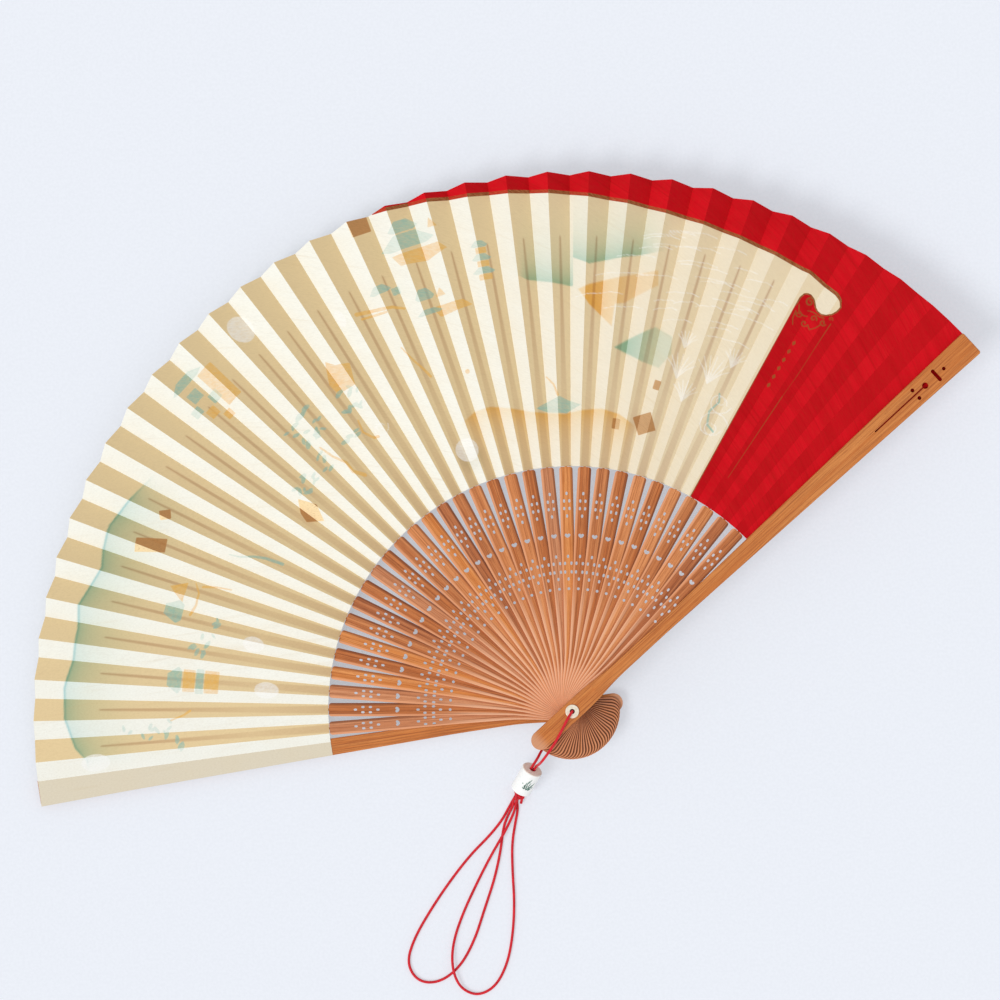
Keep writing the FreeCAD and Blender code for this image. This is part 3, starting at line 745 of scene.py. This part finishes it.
def paint(angle, radius, glued, across):
    """Attributes of the painted leaf at chart points.

    glued is true on the panels glued to the ribs, and across runs from 0 to 1 over a panel."""
    teal, orange, brown, white, gold = (Ink(angle, radius) for _ in range(5))

    # pavilions: teal roofs over orange walls
    teal.add(
        (139.6, 193.5), roof(16, 3.6, 3.0), block(5.0, 4.6, -2.0, -4.4), block(4.6, 4.2, 3.2, -10.0),
        block(4.4, 3.6, -6.5, -8.8),
    )
    orange.add(
        (138.6, 185.0), block(7.2, 17.0, 4.6, -6.0), block(4.2, 4.0, -5.4, -5.0), block(3.6, 3.4, -1.6, -9.8),
    )
    teal.add((175.7, 156.5), roof(11.0, 5.6, -3.4), block(10.4, 3.0, 0.0, -12.0))
    orange.add((175.7, 156.5), block(9.0, 4.6, 0.0, -8.6), block(9.8, 5.6, 0.0, -18.0))
    teal.add((166.0, 160.2), roof(9.4, 7.2, -3.4))
    orange.add(
        (163.2, 160.2), polygon((-4.0, -2.4), (4.4, -2.4), (1.0, 4.0)),
        stroke((0.55, 0.3), (-8.0, -6.4), (-3.5, -7.8), (1.5, -7.6), (5.0, -5.2)),
    )
    teal.add((109.4, 195.4), roof(22.0, 6.0, -4.0), roof(12.0, 4.6, 2.6))
    orange.add(
        (108.6, 188.2), polygon((-10.0, 1.8), (8.6, 1.8), (11.6, -1.2), (3.0, -4.0), (-8.0, -2.6)),
        polygon((6.4, 8.2), (10.0, 8.0), (7.6, 12.0)),
    )
    teal.add((114.6, 179.2), roof(9.0, 3.4, -0.6), block(3.2, 3.0, 5.8, -3.4))
    orange.add(
        (115.6, 173.6), stroke((0.8, 0.5), (-9.0, 2.0), (-2.0, 0.2), (5.0, -1.6), (9.0, -3.8)),
        stroke(0.45, (-8.0, -0.6), (2.0, -2.4)),
    )
    teal.add((109.6, 171.2), roof(8.0, 4.6, -1.4), roof(11.0, 2.2, -7.2))
    orange.add(
        (107.0, 166.6), polygon((-6.2, -0.6), (6.4, -0.6), (9.6, -3.6), (-4.0, -5.0)),
        polygon((-3.4, 3.0), (0.4, 3.0), (-1.2, 6.4)),
    )
    for tier in range(3):
        teal.add((101.3, 184.0 - 5.2 * tier), roof(6.8 + 1.1 * tier, 2.6, 0.0))
        orange.add((101.3, 184.0 - 5.2 * tier), block(4.2 + 0.5 * tier, 2.3, 0.3, -2.5))
    orange.add(
        (124.8, 159.0), polygon((-4.6, -5.8), (3.4, -6.4), (6.2, 2.0), (1.0, 4.2), (-1.4, 7.6), (-5.4, -0.8)),
    )

    # trees: teal leaves on thin orange trunks
    for place, count, width, height, seed in (
        ((133.6, 151.4), 22, 15, 12, 3), ((137.8, 137.0), 16, 19, 9, 4), ((125.4, 148.8), 10, 9, 10, 5),
        ((128.6, 136.5), 5, 8, 4, 6), ((182.8, 166.5), 11, 7, 20, 7), ((169.4, 147.5), 7, 11, 7, 8),
        ((166.6, 143.0), 4, 9, 4, 9), ((184.6, 154.0), 4, 5, 7, 12),
    ):
        leaf_spray(teal, place, count, width, height, 1.35, seed)
    for half, points in (
        ((0.35, 0.85), ((133.8, 142.0), (133.3, 136.0), (132.3, 130.6), (132.5, 126.4), (131.3, 122.2))),
        ((0.30, 0.60), ((126.4, 140.6), (126.9, 135.6), (126.0, 131.4), (125.2, 130.8))),
        ((0.30, 0.60), ((115.2, 156.2), (114.3, 149.4), (113.6, 145.8), (112.9, 141.4))),
        ((0.30, 0.55), ((181.6, 157.0), (180.8, 151.6), (180.2, 149.4))),
        ((0.25, 0.50), ((94.4, 130.4), (93.2, 127.2), (92.6, 123.2))),
        ((0.25, 0.45), ((160.6, 141.0), (161.0, 147.0), (161.6, 152.0))),
    ):
        a0, r0 = points[0]
        orange.add((a0, r0), stroke(half, *[(radians(a0 - a) * r0, r - r0) for a, r in points]))
    teal.add((155.6, 147.0), stroke((0.25, 0.7), (0.0, 0.0), (0.9, -4.4), (3.4, -9.0), (5.0, -13.6), (6.0, -20.4)))

    # loose squares of gold leaf, turned brown
    for place, w, h, lean, tilt in (
        ((158.7, 177.2), 6.6, 12.0, 1.2, 25), ((154.4, 176.3), 4.2, 4.4, 0.5, 40), (
            (113.75, 207.2), 8.2, 8.6, 0.3, -1,
        ),
        ((81.3, 113.2), 3.3, 4.1, 0.4, 6), ((75.9, 115.3), 7.4, 7.4, 0.3, 33), ((75.4, 131.0), 2.7, 3.7, 0.2, 0),
    ):
        brown.add(place, quad(w, h, lean), tilt=tilt)
    brown.add((142.9, 128.4), polygon((-4.0, -1.6), (0.6, -6.8), (4.0, -0.6), (1.2, 6.6), (-2.6, 2.4)))
    orange.add((107.1, 138.3), blob(0.9, 0.9))

    # white pebbles, waves and grasses
    for place, w, h, tilt in (
        ((131.0, 196.8), 4.6, 5.8, 10), ((186.4, 187.4), 3.4, 5.6, 0), ((176.4, 119.6), 3.2, 4.8, 0),
        ((168.4, 127.0), 3.0, 4.2, 0), ((120.6, 177.4), 1.8, 3.6, 0), ((111.9, 109.4), 4.4, 4.6, 20),
    ):
        white.add(place, blob(w, h), tilt=tilt)
    scatter = random.Random(21)
    for n in range(34):
        a0, r0 = scatter.uniform(63, 88 - 0.28 * n), 156 + n * 1.08
        length = scatter.uniform(8, 22)
        rise = scatter.uniform(0.6, 1.4)
        white.add(
            (a0, r0),
            stroke(
                0.20, (-length / 2, -rise), (-length / 4, 0.0), (0.0, rise * 0.3), (length / 4, rise),
                (length / 2, rise * 0.6),
            ),
        )
    for a0, r0, size in (
        (72.6, 139.0, 6.5), (67.6, 141.5, 7.5), (70.6, 130.5, 5.5), (65.2, 149.6, 5.0), (72.8, 150.2, 4.5),
    ):
        for k in range(7):
            fan_angle = radians(-60 + 20 * k)
            tip = (size * sin(fan_angle), size * cos(fan_angle))
            white.add((a0, r0), stroke((0.30, 0.16), (0.0, -size * 0.5), (tip[0] * 0.5, tip[1] * 0.3), tip))
    for a0, r0, size, seed in ((64.0, 123.0, 7.0, 1), (64.4, 133.0, 5.0, 2), (124.2, 133.0, 3.6, 6)):
        white.add((a0, r0), curl(size, 1.15, 0.22, seed % 2 == 0))
        white.add((a0, r0), curl(size * 0.6, 0.8, 0.20, seed % 2 == 1))
    teal.add((63.9, 128.0), stroke((0.45, 0.35), (1.6, -6.4), (-1.8, -5.0), (-3.4, 0.0), (-1.4, 5.0), (-2.6, 8.0)))
    teal.add(
        (92.5, 117.4),
        polygon((-8.8, 1.0), (-3.0, 3.6), (0.4, 5.2), (3.8, 3.4), (8.6, 1.8), (3.0, -1.6), (-4.0, -1.0)),
    )

    # scrolls in old gold on the red, by the cloud's nose, and a plain rule down the wedge
    for place, *shapes in (
        ((59.8, 183.9), curl(2.1, 1.35, 0.34, False)),
        ((60.3, 177.6), curl(1.3, 0.9, 0.26), stroke(0.26, (-1.6, 3.4), (-0.6, 1.4), (1.6, 0.4), (3.4, 0.9))),
        ((59.1, 175.7), curl(1.5, 1.0, 0.26), stroke(0.24, (1.5, 0.2), (3.0, -1.2), (4.6, 0.6), (5.6, 2.6))),
        (
            (58.4, 179.0), curl(1.4, 1.0, 0.26, False),
            stroke(0.26, (-3.4, 1.6), (-1.4, 2.2), (1.4, 1.9), (3.4, 2.2)),
        ),
        ((57.15, 179.6), curl(1.4, 1.1, 0.26), stroke(0.24, (-2.2, 1.2), (-1.2, 2.0))),
        ((56.6, 182.4), curl(1.0, 0.9, 0.24, False)),
        ((61.0, 174.6), stroke((0.28, 0.20), (0.6, 3.6), (0.9, 0.6), (2.2, -1.6))),
        ((56.25, 181.0), stroke((0.20, 0.14), (0.0, 0.0), (0.3, -24.0), (0.0, -36.0))),
        ((56.25, 147.0), stroke((0.16, 0.12), (0.0, 0.0), (0.0, -38.0))),
    ):
        gold.add(place, *shapes)
    for n in range(6):
        gold.add((58.9, 167.0 - 3.8 * n), polygon((-0.75, 0.0), (0.0, -1.15), (0.75, 0.0), (0.0, 1.15)))

    red = red_ground(angle, radius)
    trim_width = 0.30 + 0.30 * step(radius, 179.0, 182.0) + 0.75 * step(radius, 189.5, 191.0) * step(
        angle, 56.0, 57.5,
    )
    trim = np.minimum(red + 0.05, trim_width - red)

    # soft washes over the ground colour
    cream = np.array(srgb(244, 244, 235))
    sand_and_shade = np.array(srgb(234, 209, 162))
    band = np.array(srgb(224, 214, 192))
    if glued is None:
        ground = np.tile(band, (len(radius), 1))
    elif glued:
        # glued panels: tan, partly the rib behind showing through and partly painted shade, as they slope away
        # from the lamp; fully tan past 110 degrees
        share = (0.74 + 0.26 * step(angle, 60, 110))[:, None]
        ground = cream * (1 - share) + sand_and_shade * share
        off_middle = np.abs(across - 0.5) * np.radians(2 * PANEL_HALF) * radius
        half = np.interp(radius, (95.0, 140.0, SLIP_REACH + 1.0), (1.45, 0.75, 0.20))
        slip = step(off_middle, half + 0.35, half - 0.15) * step(radius, SLIP_REACH + 1.6, SLIP_REACH + 0.2)
        slip = slip * np.interp(radius, (95.0, 125.0, SLIP_REACH), (0.42, 0.22, 0.80))
        ground = ground * (1 - slip[:, None] * (1 - np.array(srgb(204, 176, 166))))
    else:
        # free panels: sandier towards the front guard, up to 0.52 below 66 degrees
        share = (0.52 * (1 - step(angle, 66, 112)))[:, None]
        ground = cream * (1 - share) + sand_and_shade * share

    # painted highlight: where light falls square on the free panels, their paint is paled, most past 100 degrees
    strength = np.ones(len(radius)) if glued else 1.0 - 0.58 * step(angle, 62, 100)

    def wash(amount, colour):
        nonlocal ground
        amount = (np.clip(amount, 0, None) * strength)[:, None]
        amount = np.minimum(amount, 1.0)
        ground = ground * (1 - amount) + ground * np.array(srgb(*colour)) * amount

    crest = np.interp(angle, *zip(*MOUNTAIN[::-1]))
    below = crest - radius
    on_mountain = step(angle, 150.0, 156.0) * step(angle, 187.5, 184.5)
    wash(on_mountain * step(below, -0.3, 0.2) * fade(below, 8.0) * 0.78, (150, 216, 230))
    wash(on_mountain * step(below, -0.3, 0.2) * step(below, 32, 8) * 0.24, (208, 228, 214))
    wash(on_mountain * np.exp(-np.square((below - 0.35) / 0.45)) * 0.55 / strength, (140, 212, 226))
    lower = np.interp(angle, *zip(*PEAK[::-1]))
    above = radius - lower
    on_peak = step(angle, 78.0, 82.5) * step(angle, 97.6, 95.4) * step(above, -0.3, 0.3)
    wash(on_peak * fade(above, 8.0) * 0.85 / np.sqrt(strength), (142, 208, 206))
    yellow = Ink(angle, radius)
    yellow.add(
        (84.6, 163.5),
        polygon(
            (-13.1, 0.7), (-8.8, 2.8), (10.0, 8.7), (16.3, 11.1), (17.4, 5.3), (5.4, -3.6), (1.7, -4.4),
            (1.4, -13.2), (-8.6, -5.1),
        ),
    )
    wash(step(yellow.inside, -0.3, 0.4) * (0.45 + 0.50 * step(angle, 81, 88)), (252, 206, 118))
    mint = Ink(angle, radius)
    mint.add((78.0, 145.5), polygon((-14.0, -3.2), (0.6, 7.4), (7.6, 5.2), (9.0, -1.6), (5.6, -8.0), (-2.0, -7.0)))
    wash(step(mint.inside, -0.3, 0.5) * (0.35 + 0.60 * step(angle, 76, 82)), (156, 214, 214))
    hill_line = np.interp(angle, *zip(*HILL[::-1]))
    depth = hill_line - radius
    on_hill = step(angle, 76.5, 80.0) * step(angle, 112.0, 108.0)
    wash(on_hill * step(depth, -0.3, 0.5) * fade(depth, 8.5) * 0.95, (252, 214, 140))
    wash(step(np.hypot((angle - 111.8) * 2.0, radius - 105.6), 7.5, 2.0) * 0.45, (206, 206, 198))

    inks = np.stack([teal.inside, orange.inside, brown.inside], 1)
    grounds = np.stack([white.inside, red, trim], 1)
    # extra holds the gold ink, the share of paint kept under the painted highlight, and 1 on the glued panels and
    # the end band, where the red is darkened, partly as painted shade
    extra = np.stack([gold.inside, strength, np.full(len(radius), 0.0 if glued is False else 1.0)], 1)
    return ground, inks, grounds, extra


# ---- leaf materials ----
def paper(s, fibre_shift=(0, 0, 0), wrinkle_shift=(0, 0, 0)):
    """The leaf's paper: its chart, its fibre, its small folds, whose noise also paints shade along them, and the
    bumps that the two make.
    """
    chart = s.attribute("chart")
    fibre = s.noise(s.stretched(chart, (2.6, 1.1, 5.0), fibre_shift), 1.0, 4, 0.65)
    wrinkle_and_shade = s.noise(s.stretched(chart, (0.55, 0.035, 3.0), wrinkle_shift), 1.0, 3, 0.55)
    return chart, fibre, wrinkle_and_shade, s.plus(s.times(fibre, 0.35), s.times(wrinkle_and_shade, 0.9))


def leaf_front():
    """Matt leaf with its painting: inks from their distances, paper fibre and small folds from noise, with painted
    shade along the folds and on the glued panels' red, and paint paled under a painted highlight on the free
    panels.
    """
    s = Shader("leaf_painted")
    chart, fibre, wrinkle_and_shade, height = paper(s)
    cloud = s.noise(s.stretched(chart, (0.09, 0.07, 1.0)), 1.0, 3, 0.55)
    brush = s.noise(s.stretched(chart, (0.9, 0.8, 1.0)), 1.0, 4, 0.6)
    ragged = s.times(s.minus(brush, 0.5), 0.7)
    colour = s.attribute("ground", "Color")
    colour = s.tint(colour, srgb(228, 205, 160), cloud, 0.35, 0.75, 0.07)
    # painted shade along the small folds
    colour = s.tint(colour, srgb(205, 176, 126), wrinkle_and_shade, 0.55, 0.80, 0.14)
    teal, orange, brown = s.parts(s.attribute("inks"))
    white, red, trim = s.parts(s.attribute("grounds"))
    gold, paint_kept_under_highlight, backed_and_shaded = s.parts(s.attribute("extra"))

    def ink(colour, distance, share, pigment, rough=True, soft=0.16, under_painted_highlight=True):
        if rough:
            distance = s.plus(distance, ragged)
        strength = s.times(s.between(distance, -soft, soft), share)
        if rough:
            strength = s.times(strength, s.between(brush, 0.25, 0.7, 1.0, 0.62))
        if under_painted_highlight:
            strength = s.times(strength, paint_kept_under_highlight)
        return s.mix(strength, colour, pigment)

    # the painted highlight on the free panels pales the teal and the trim, thins the orange and lightens the gold
    # leaf
    orange_share = s.between(paint_kept_under_highlight, 0.4, 1.0, 0.62, 0.86)
    colour = ink(colour, orange, orange_share, srgb(238, 184, 90), under_painted_highlight=False)
    colour = ink(colour, teal, 0.72, srgb(122, 190, 182))
    colour = ink(colour, white, 0.66, srgb(250, 250, 248), soft=0.20, under_painted_highlight=False)
    leaf_gold = s.mix(s.between(paint_kept_under_highlight, 0.4, 1.0), srgb(250, 222, 170), srgb(186, 130, 76))
    leaf_gold = s.tint(leaf_gold, srgb(150, 104, 60), fibre, 0.50, 0.70, 0.35)
    colour = ink(colour, brown, 0.90, leaf_gold, rough=False, under_painted_highlight=False)
    dye = s.mix(s.between(cloud, 0.3, 0.7), srgb(198, 4, 22), srgb(214, 8, 28))
    # painted shade in the red along the small folds
    dye = s.tint(dye, srgb(176, 1, 14), wrinkle_and_shade, 0.50, 0.74, 0.55)
    # the red is darker on the glued panels: partly the bamboo behind showing through, partly painted shade of the
    # pleats
    dye = s.mix(s.times(backed_and_shaded, 0.40), dye, srgb(172, 0, 12))
    dye = s.tint(dye, srgb(148, 84, 40), gold, -0.14, 0.14, 0.80)
    colour = ink(colour, red, 1.0, dye, rough=False, soft=0.10, under_painted_highlight=False)
    trim_colour = s.mix(s.between(fibre, 0.4, 0.65), srgb(122, 72, 34), srgb(176, 122, 76))
    colour = ink(colour, trim, 0.90, trim_colour, rough=False, soft=0.10)
    colour = s.tint(colour, srgb(120, 92, 60), fibre, 0.35, 0.75, 0.10)
    return s.set(
        base_color=colour, roughness=s.between(fibre, 0.3, 0.7, 0.74, 0.90),
        specular_ior_level=0.08, normal=s.bump(height, 0.10, 0.55),
    )


def leaf_reverse():
    """The unpainted back, where only the red dye comes through."""
    s = Shader("leaf_reverse")
    _, fibre, wrinkle_and_shade, height = paper(s, (40, 7, 3), (9, 40, 2))
    red = s.parts(s.attribute("grounds"))[1]
    # painted shade along the small folds of the back, in the plain paper and the dye
    plain = s.mix(s.between(wrinkle_and_shade, 0.4, 0.8), srgb(238, 230, 206), srgb(222, 206, 168))
    dye = s.mix(s.between(wrinkle_and_shade, 0.4, 0.8), srgb(196, 26, 38), srgb(170, 14, 26))
    colour = s.tint(plain, dye, red, -0.25, 0.25, 0.95)
    colour = s.tint(colour, srgb(130, 100, 66), fibre, 0.35, 0.75, 0.14)
    return s.set(
        base_color=colour, roughness=s.between(fibre, 0.3, 0.7, 0.78, 0.92),
        specular_ior_level=0.08, normal=s.bump(height, 0.10, 0.5),
    )


painted, reverse = leaf_front(), leaf_reverse()


# ---- leaf panels ----
def crease_point(line, radius):
    angle, level, rise = line
    a = np.radians(angle)
    return np.stack([radius * np.cos(a), radius * np.sin(a), level + rise * radius], -1)


def slope(i):
    """Sideways slope of glued panel i. Over the last ribs before the front guard it is 0.1 less than in the part's
    source, so that the papers there cross less when the fan is closed."""
    return PLEAT_SLOPE * max(0.0, min(1.0, i / PLEAT_RAMP, (RIBS - i) / PLEAT_RAMP))


def panel_level(i):
    if i == 0:
        return BACK_TOP + PAPER
    if i == RIBS + 1:
        return FRONT_LOW - PAPER
    return RIB_1_LOW + (i - 1) * STACK_PITCH + LEVEL_OVER_RIB


def crease(i, side):
    """A glued panel's left crease, the ridge (side 1), or its right one, the valley (side -1).

    A crease is a line from the pivot axis outwards: (angle, height at the axis, rise per millimetre)."""
    rise = side * slope(i) * tan(radians(PANEL_HALF))
    return rib_angle(i) + side * PANEL_HALF, panel_level(i) + PAPER / 2, rise


COLUMNS, ROWS = 18, 240
OUTER_ENDS = ((42.0, 210.9), (60.0, 210.8), (75.0, 210.4), (90.0, 209.9), (110.0, 209.6), (140.0, 209.6),
              (165.0, 209.9), (180.0, 210.5), (190.5, 211.0))
# the back guard's half widths, because the end band covers all of its face
GUARD_WAIST_END, GUARD_WAIST_HALF, GUARD_TIP_HALF = 47.0, 2.45, 5.2
CHART_SHIFT = 3.1                   # between panels, so that their paper's fibre differs
VALLEY_SHORT = 1.3                  # a full pleat's valley ends this much nearer the pivot


def outer_end(line):
    """Where a crease ends: a valley, which falls outwards, ends a little short of a ridge."""
    angle, _, rise = line
    full = PLEAT_SLOPE * tan(radians(PANEL_HALF))
    return float(np.interp(angle, *zip(*OUTER_ENDS))) - VALLEY_SHORT * max(0.0, -rise) / full


def panel(name, left, right, glued, number):
    """One flat panel of the leaf between two creases, as a grid that carries its painting."""
    s = np.repeat(np.linspace(0, 1, COLUMNS + 1), ROWS + 1)
    ends = outer_end(left) * (1 - s) + outer_end(right) * s
    radius = LEAF_INNER + np.tile(np.linspace(0, 1, ROWS + 1), COLUMNS + 1) * (ends - LEAF_INNER)
    left_angle = np.full(radius.shape, left[0])
    if glued is None:
        guard_half = np.interp(radius, (GUARD_WAIST_END, REACH), (GUARD_WAIST_HALF, GUARD_TIP_HALF))
        left_angle = np.maximum(left_angle, BACK_ANGLE + np.degrees(np.arcsin(guard_half / radius)))
    first = crease_point((left_angle, left[1], left[2]), radius)
    place = first * (1 - s)[:, None] + crease_point(right, radius) * s[:, None]
    column, row = np.meshgrid(np.arange(COLUMNS), np.arange(ROWS), indexing="ij")
    a = (column * (ROWS + 1) + row).ravel()
    faces = np.stack([a, a + ROWS + 1, a + ROWS + 2, a + 1], 1)
    mesh = bpy.data.meshes.new(name)
    mesh.from_pydata((place * MM).tolist(), [], faces[:, ::-1].tolist())
    mesh.update()
    mesh.materials.append(painted)
    mesh.materials.append(reverse)
    if mesh.polygons[0].normal.z < 0:
        mesh.flip_normals()
    angle = left_angle * (1 - s) + right[0] * s
    ground, inks, grounds, extra = paint(angle, radius, glued, s)
    tint = mesh.attributes.new("ground", "FLOAT_COLOR", "POINT")
    tint.data.foreach_set("color", np.column_stack([ground, np.ones(len(s))]).astype(np.float32).ravel())
    chart = np.stack([np.radians(BACK_ANGLE - angle) * radius, radius, np.full(len(s), number * CHART_SHIFT)], 1)
    for key, values in (("inks", inks), ("grounds", grounds), ("extra", extra), ("chart", chart)):
        stored = mesh.attributes.new(key, "FLOAT_VECTOR", "POINT")
        stored.data.foreach_set("vector", values.astype(np.float32).ravel())
    obj = new_object(name, mesh)
    return obj


def thicken(obj):
    shell = obj.modifiers.new("paper", "SOLIDIFY")
    shell.thickness = PAPER * MM
    shell.offset = -1
    shell.material_offset = 1
    shell.material_offset_rim = 0


def bend_between(obj, left, right, body_a, body_b):
    """Shifts a free panel's points along its own normal, and bakes its place into its mesh.

    Both creases cross the pivot axis, so along the panel's own normal a point's place goes evenly from the left
    crease to the right. The points are moved along it by a few hundredths of a millimetre, which would undo the
    smooth step of a blend that kept its left crease with one rib and its right with the next, so that the panel
    stayed flat while it turned; no such blend is made here."""
    directions = []
    for angle, _, rise in (left, right):
        a = radians(angle)
        directions.append(np.array([cos(a), sin(a), rise]))
    normal = np.cross(*directions)
    normal /= np.linalg.norm(normal)
    travel = normal[2] * (right[1] - left[1]) * MM
    share = np.repeat(np.linspace(0, 1, COLUMNS + 1), ROWS + 1)
    undone = 0.5 - np.sin(np.arcsin(1 - 2 * share) / 3)
    points = np.zeros(len(share) * 3)
    obj.data.vertices.foreach_get("co", points)
    points = points.reshape(-1, 3) + ((undone - share) * travel)[:, None] * normal
    obj.data.vertices.foreach_set("co", points.ravel())
    obj.data.update()
    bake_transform(obj)


STICKS = ["back_guard"] + [f"rib_{i:02d}" for i in range(1, RIBS + 1)] + ["front_guard"]


def cad_leaf(i):
    """The CAD leaf piece that panel i, and the free panel after it, belong to."""
    return f"leaf_fold_{(i + 1) // 2:02d}"


for i in range(RIBS + 2):
    if i == 0:
        lines = (BACK_ANGLE + BAND_HALF, panel_level(0) + PAPER / 2, 0.0), crease(0, -1)
    elif i == RIBS + 1:
        lines = crease(i, 1), (rib_angle(i) - FRONT_EDGE, panel_level(i) + PAPER / 2, 0.0)
    else:
        lines = crease(i, 1), crease(i, -1)
    glued = panel(f"leaf_glued_{i:02d}", *lines, glued=None if i == 0 else True, number=i)
    thicken(glued)
    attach(glued, STICKS[i])
    if i <= RIBS:
        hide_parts(cad_leaf(i))
        lines = crease(i, -1), crease(i + 1, 1)
        free = panel(f"leaf_free_{i:02d}", *lines, glued=False, number=i)
        thicken(free)
        bend_between(free, *lines, STICKS[i], STICKS[i + 1])
        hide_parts(cad_leaf(i))


# ---- floor, light and world ----
FLOOR_GLOW = 0.50                    # share of the floor's colour that the camera sees without its shadows


def floor_material():
    s = Shader("floor_paper")
    place = s.object_place()
    tooth = s.noise(place, 0.9, 3)
    colour = s.mix(s.between(tooth, 0.3, 0.7), srgb(235, 239, 247), srgb(238, 242, 250))
    s.set(base_color=colour, roughness=0.9, specular_ior_level=0.1, normal=s.bump(tooth, 0.01, 0.3))
    glow = s.nodes.new("ShaderNodeEmission")
    s.put(colour, glow.inputs["Color"])
    seen = s.nodes.new("ShaderNodeLightPath").outputs["Is Camera Ray"]
    both = s.nodes.new("ShaderNodeMixShader")
    s.put(s.times(seen, FLOOR_GLOW), both.inputs[0])
    s.links.new(s.surface.outputs[0], both.inputs[1])
    s.links.new(glow.outputs[0], both.inputs[2])
    s.links.new(both.outputs[0], s.nodes["Material Output"].inputs[0])
    return s.material


FLOOR_HALF = 1.6                     # in metres
FLOOR_DROP = 0.01                    # in millimetres, below the CAD's lowest point
floor = mesh_object(
    "floor",
    [
        (x * FLOOR_HALF, y * FLOOR_HALF, cad_box[0][2] - FLOOR_DROP * MM)
        for x, y in ((-1, -1), (1, -1), (1, 1), (-1, 1))
    ],
    [(0, 1, 2, 3)], floor_material(), smooth=False,
)

FILL = 0.66                          # share of the level that the sky gives, and the rest is the lamp's
LAMP_HEIGHT = radians(50)
LAMP_FROM = radians(216)
lamp_data = bpy.data.lights.new("soft_lamp", "SUN")
lamp_data.energy = (1 - FILL) * pi / sin(LAMP_HEIGHT)
lamp_data.angle = radians(26)
lamp = new_object("soft_lamp", lamp_data)
level = cos(LAMP_HEIGHT)
towards = Vector((cos(LAMP_FROM) * level, sin(LAMP_FROM) * level, sin(LAMP_HEIGHT)))
lamp.rotation_mode = "QUATERNION"
lamp.rotation_quaternion = towards.to_track_quat("Z", "Y")
lamp.location = towards

world = bpy.data.worlds.new("studio")
world.use_nodes = True
nodes, link = world.node_tree.nodes, world.node_tree.links.new
sky = nodes["Background"]
sky.inputs["Color"].default_value = (1.0, 1.0, 1.0, 1.0)
sky.inputs["Strength"].default_value = FILL
# the camera and reflections see a pale backdrop in place of the sky that lights the fan
backdrop = nodes.new("ShaderNodeBackground")
backdrop.inputs["Color"].default_value = (*srgb(236, 240, 248), 1.0)
path = nodes.new("ShaderNodeLightPath")
shown = nodes.new("ShaderNodeMath")
shown.operation = "MAXIMUM"
link(path.outputs["Is Camera Ray"], shown.inputs[0])
link(path.outputs["Is Glossy Ray"], shown.inputs[1])
both = nodes.new("ShaderNodeMixShader")
link(shown.outputs[0], both.inputs[0])
link(sky.outputs[0], both.inputs[1])
link(backdrop.outputs[0], both.inputs[2])
link(both.outputs[0], nodes["World Output"].inputs[0])
bpy.context.scene.world = world
bpy.context.scene.view_settings.view_transform = "Standard"
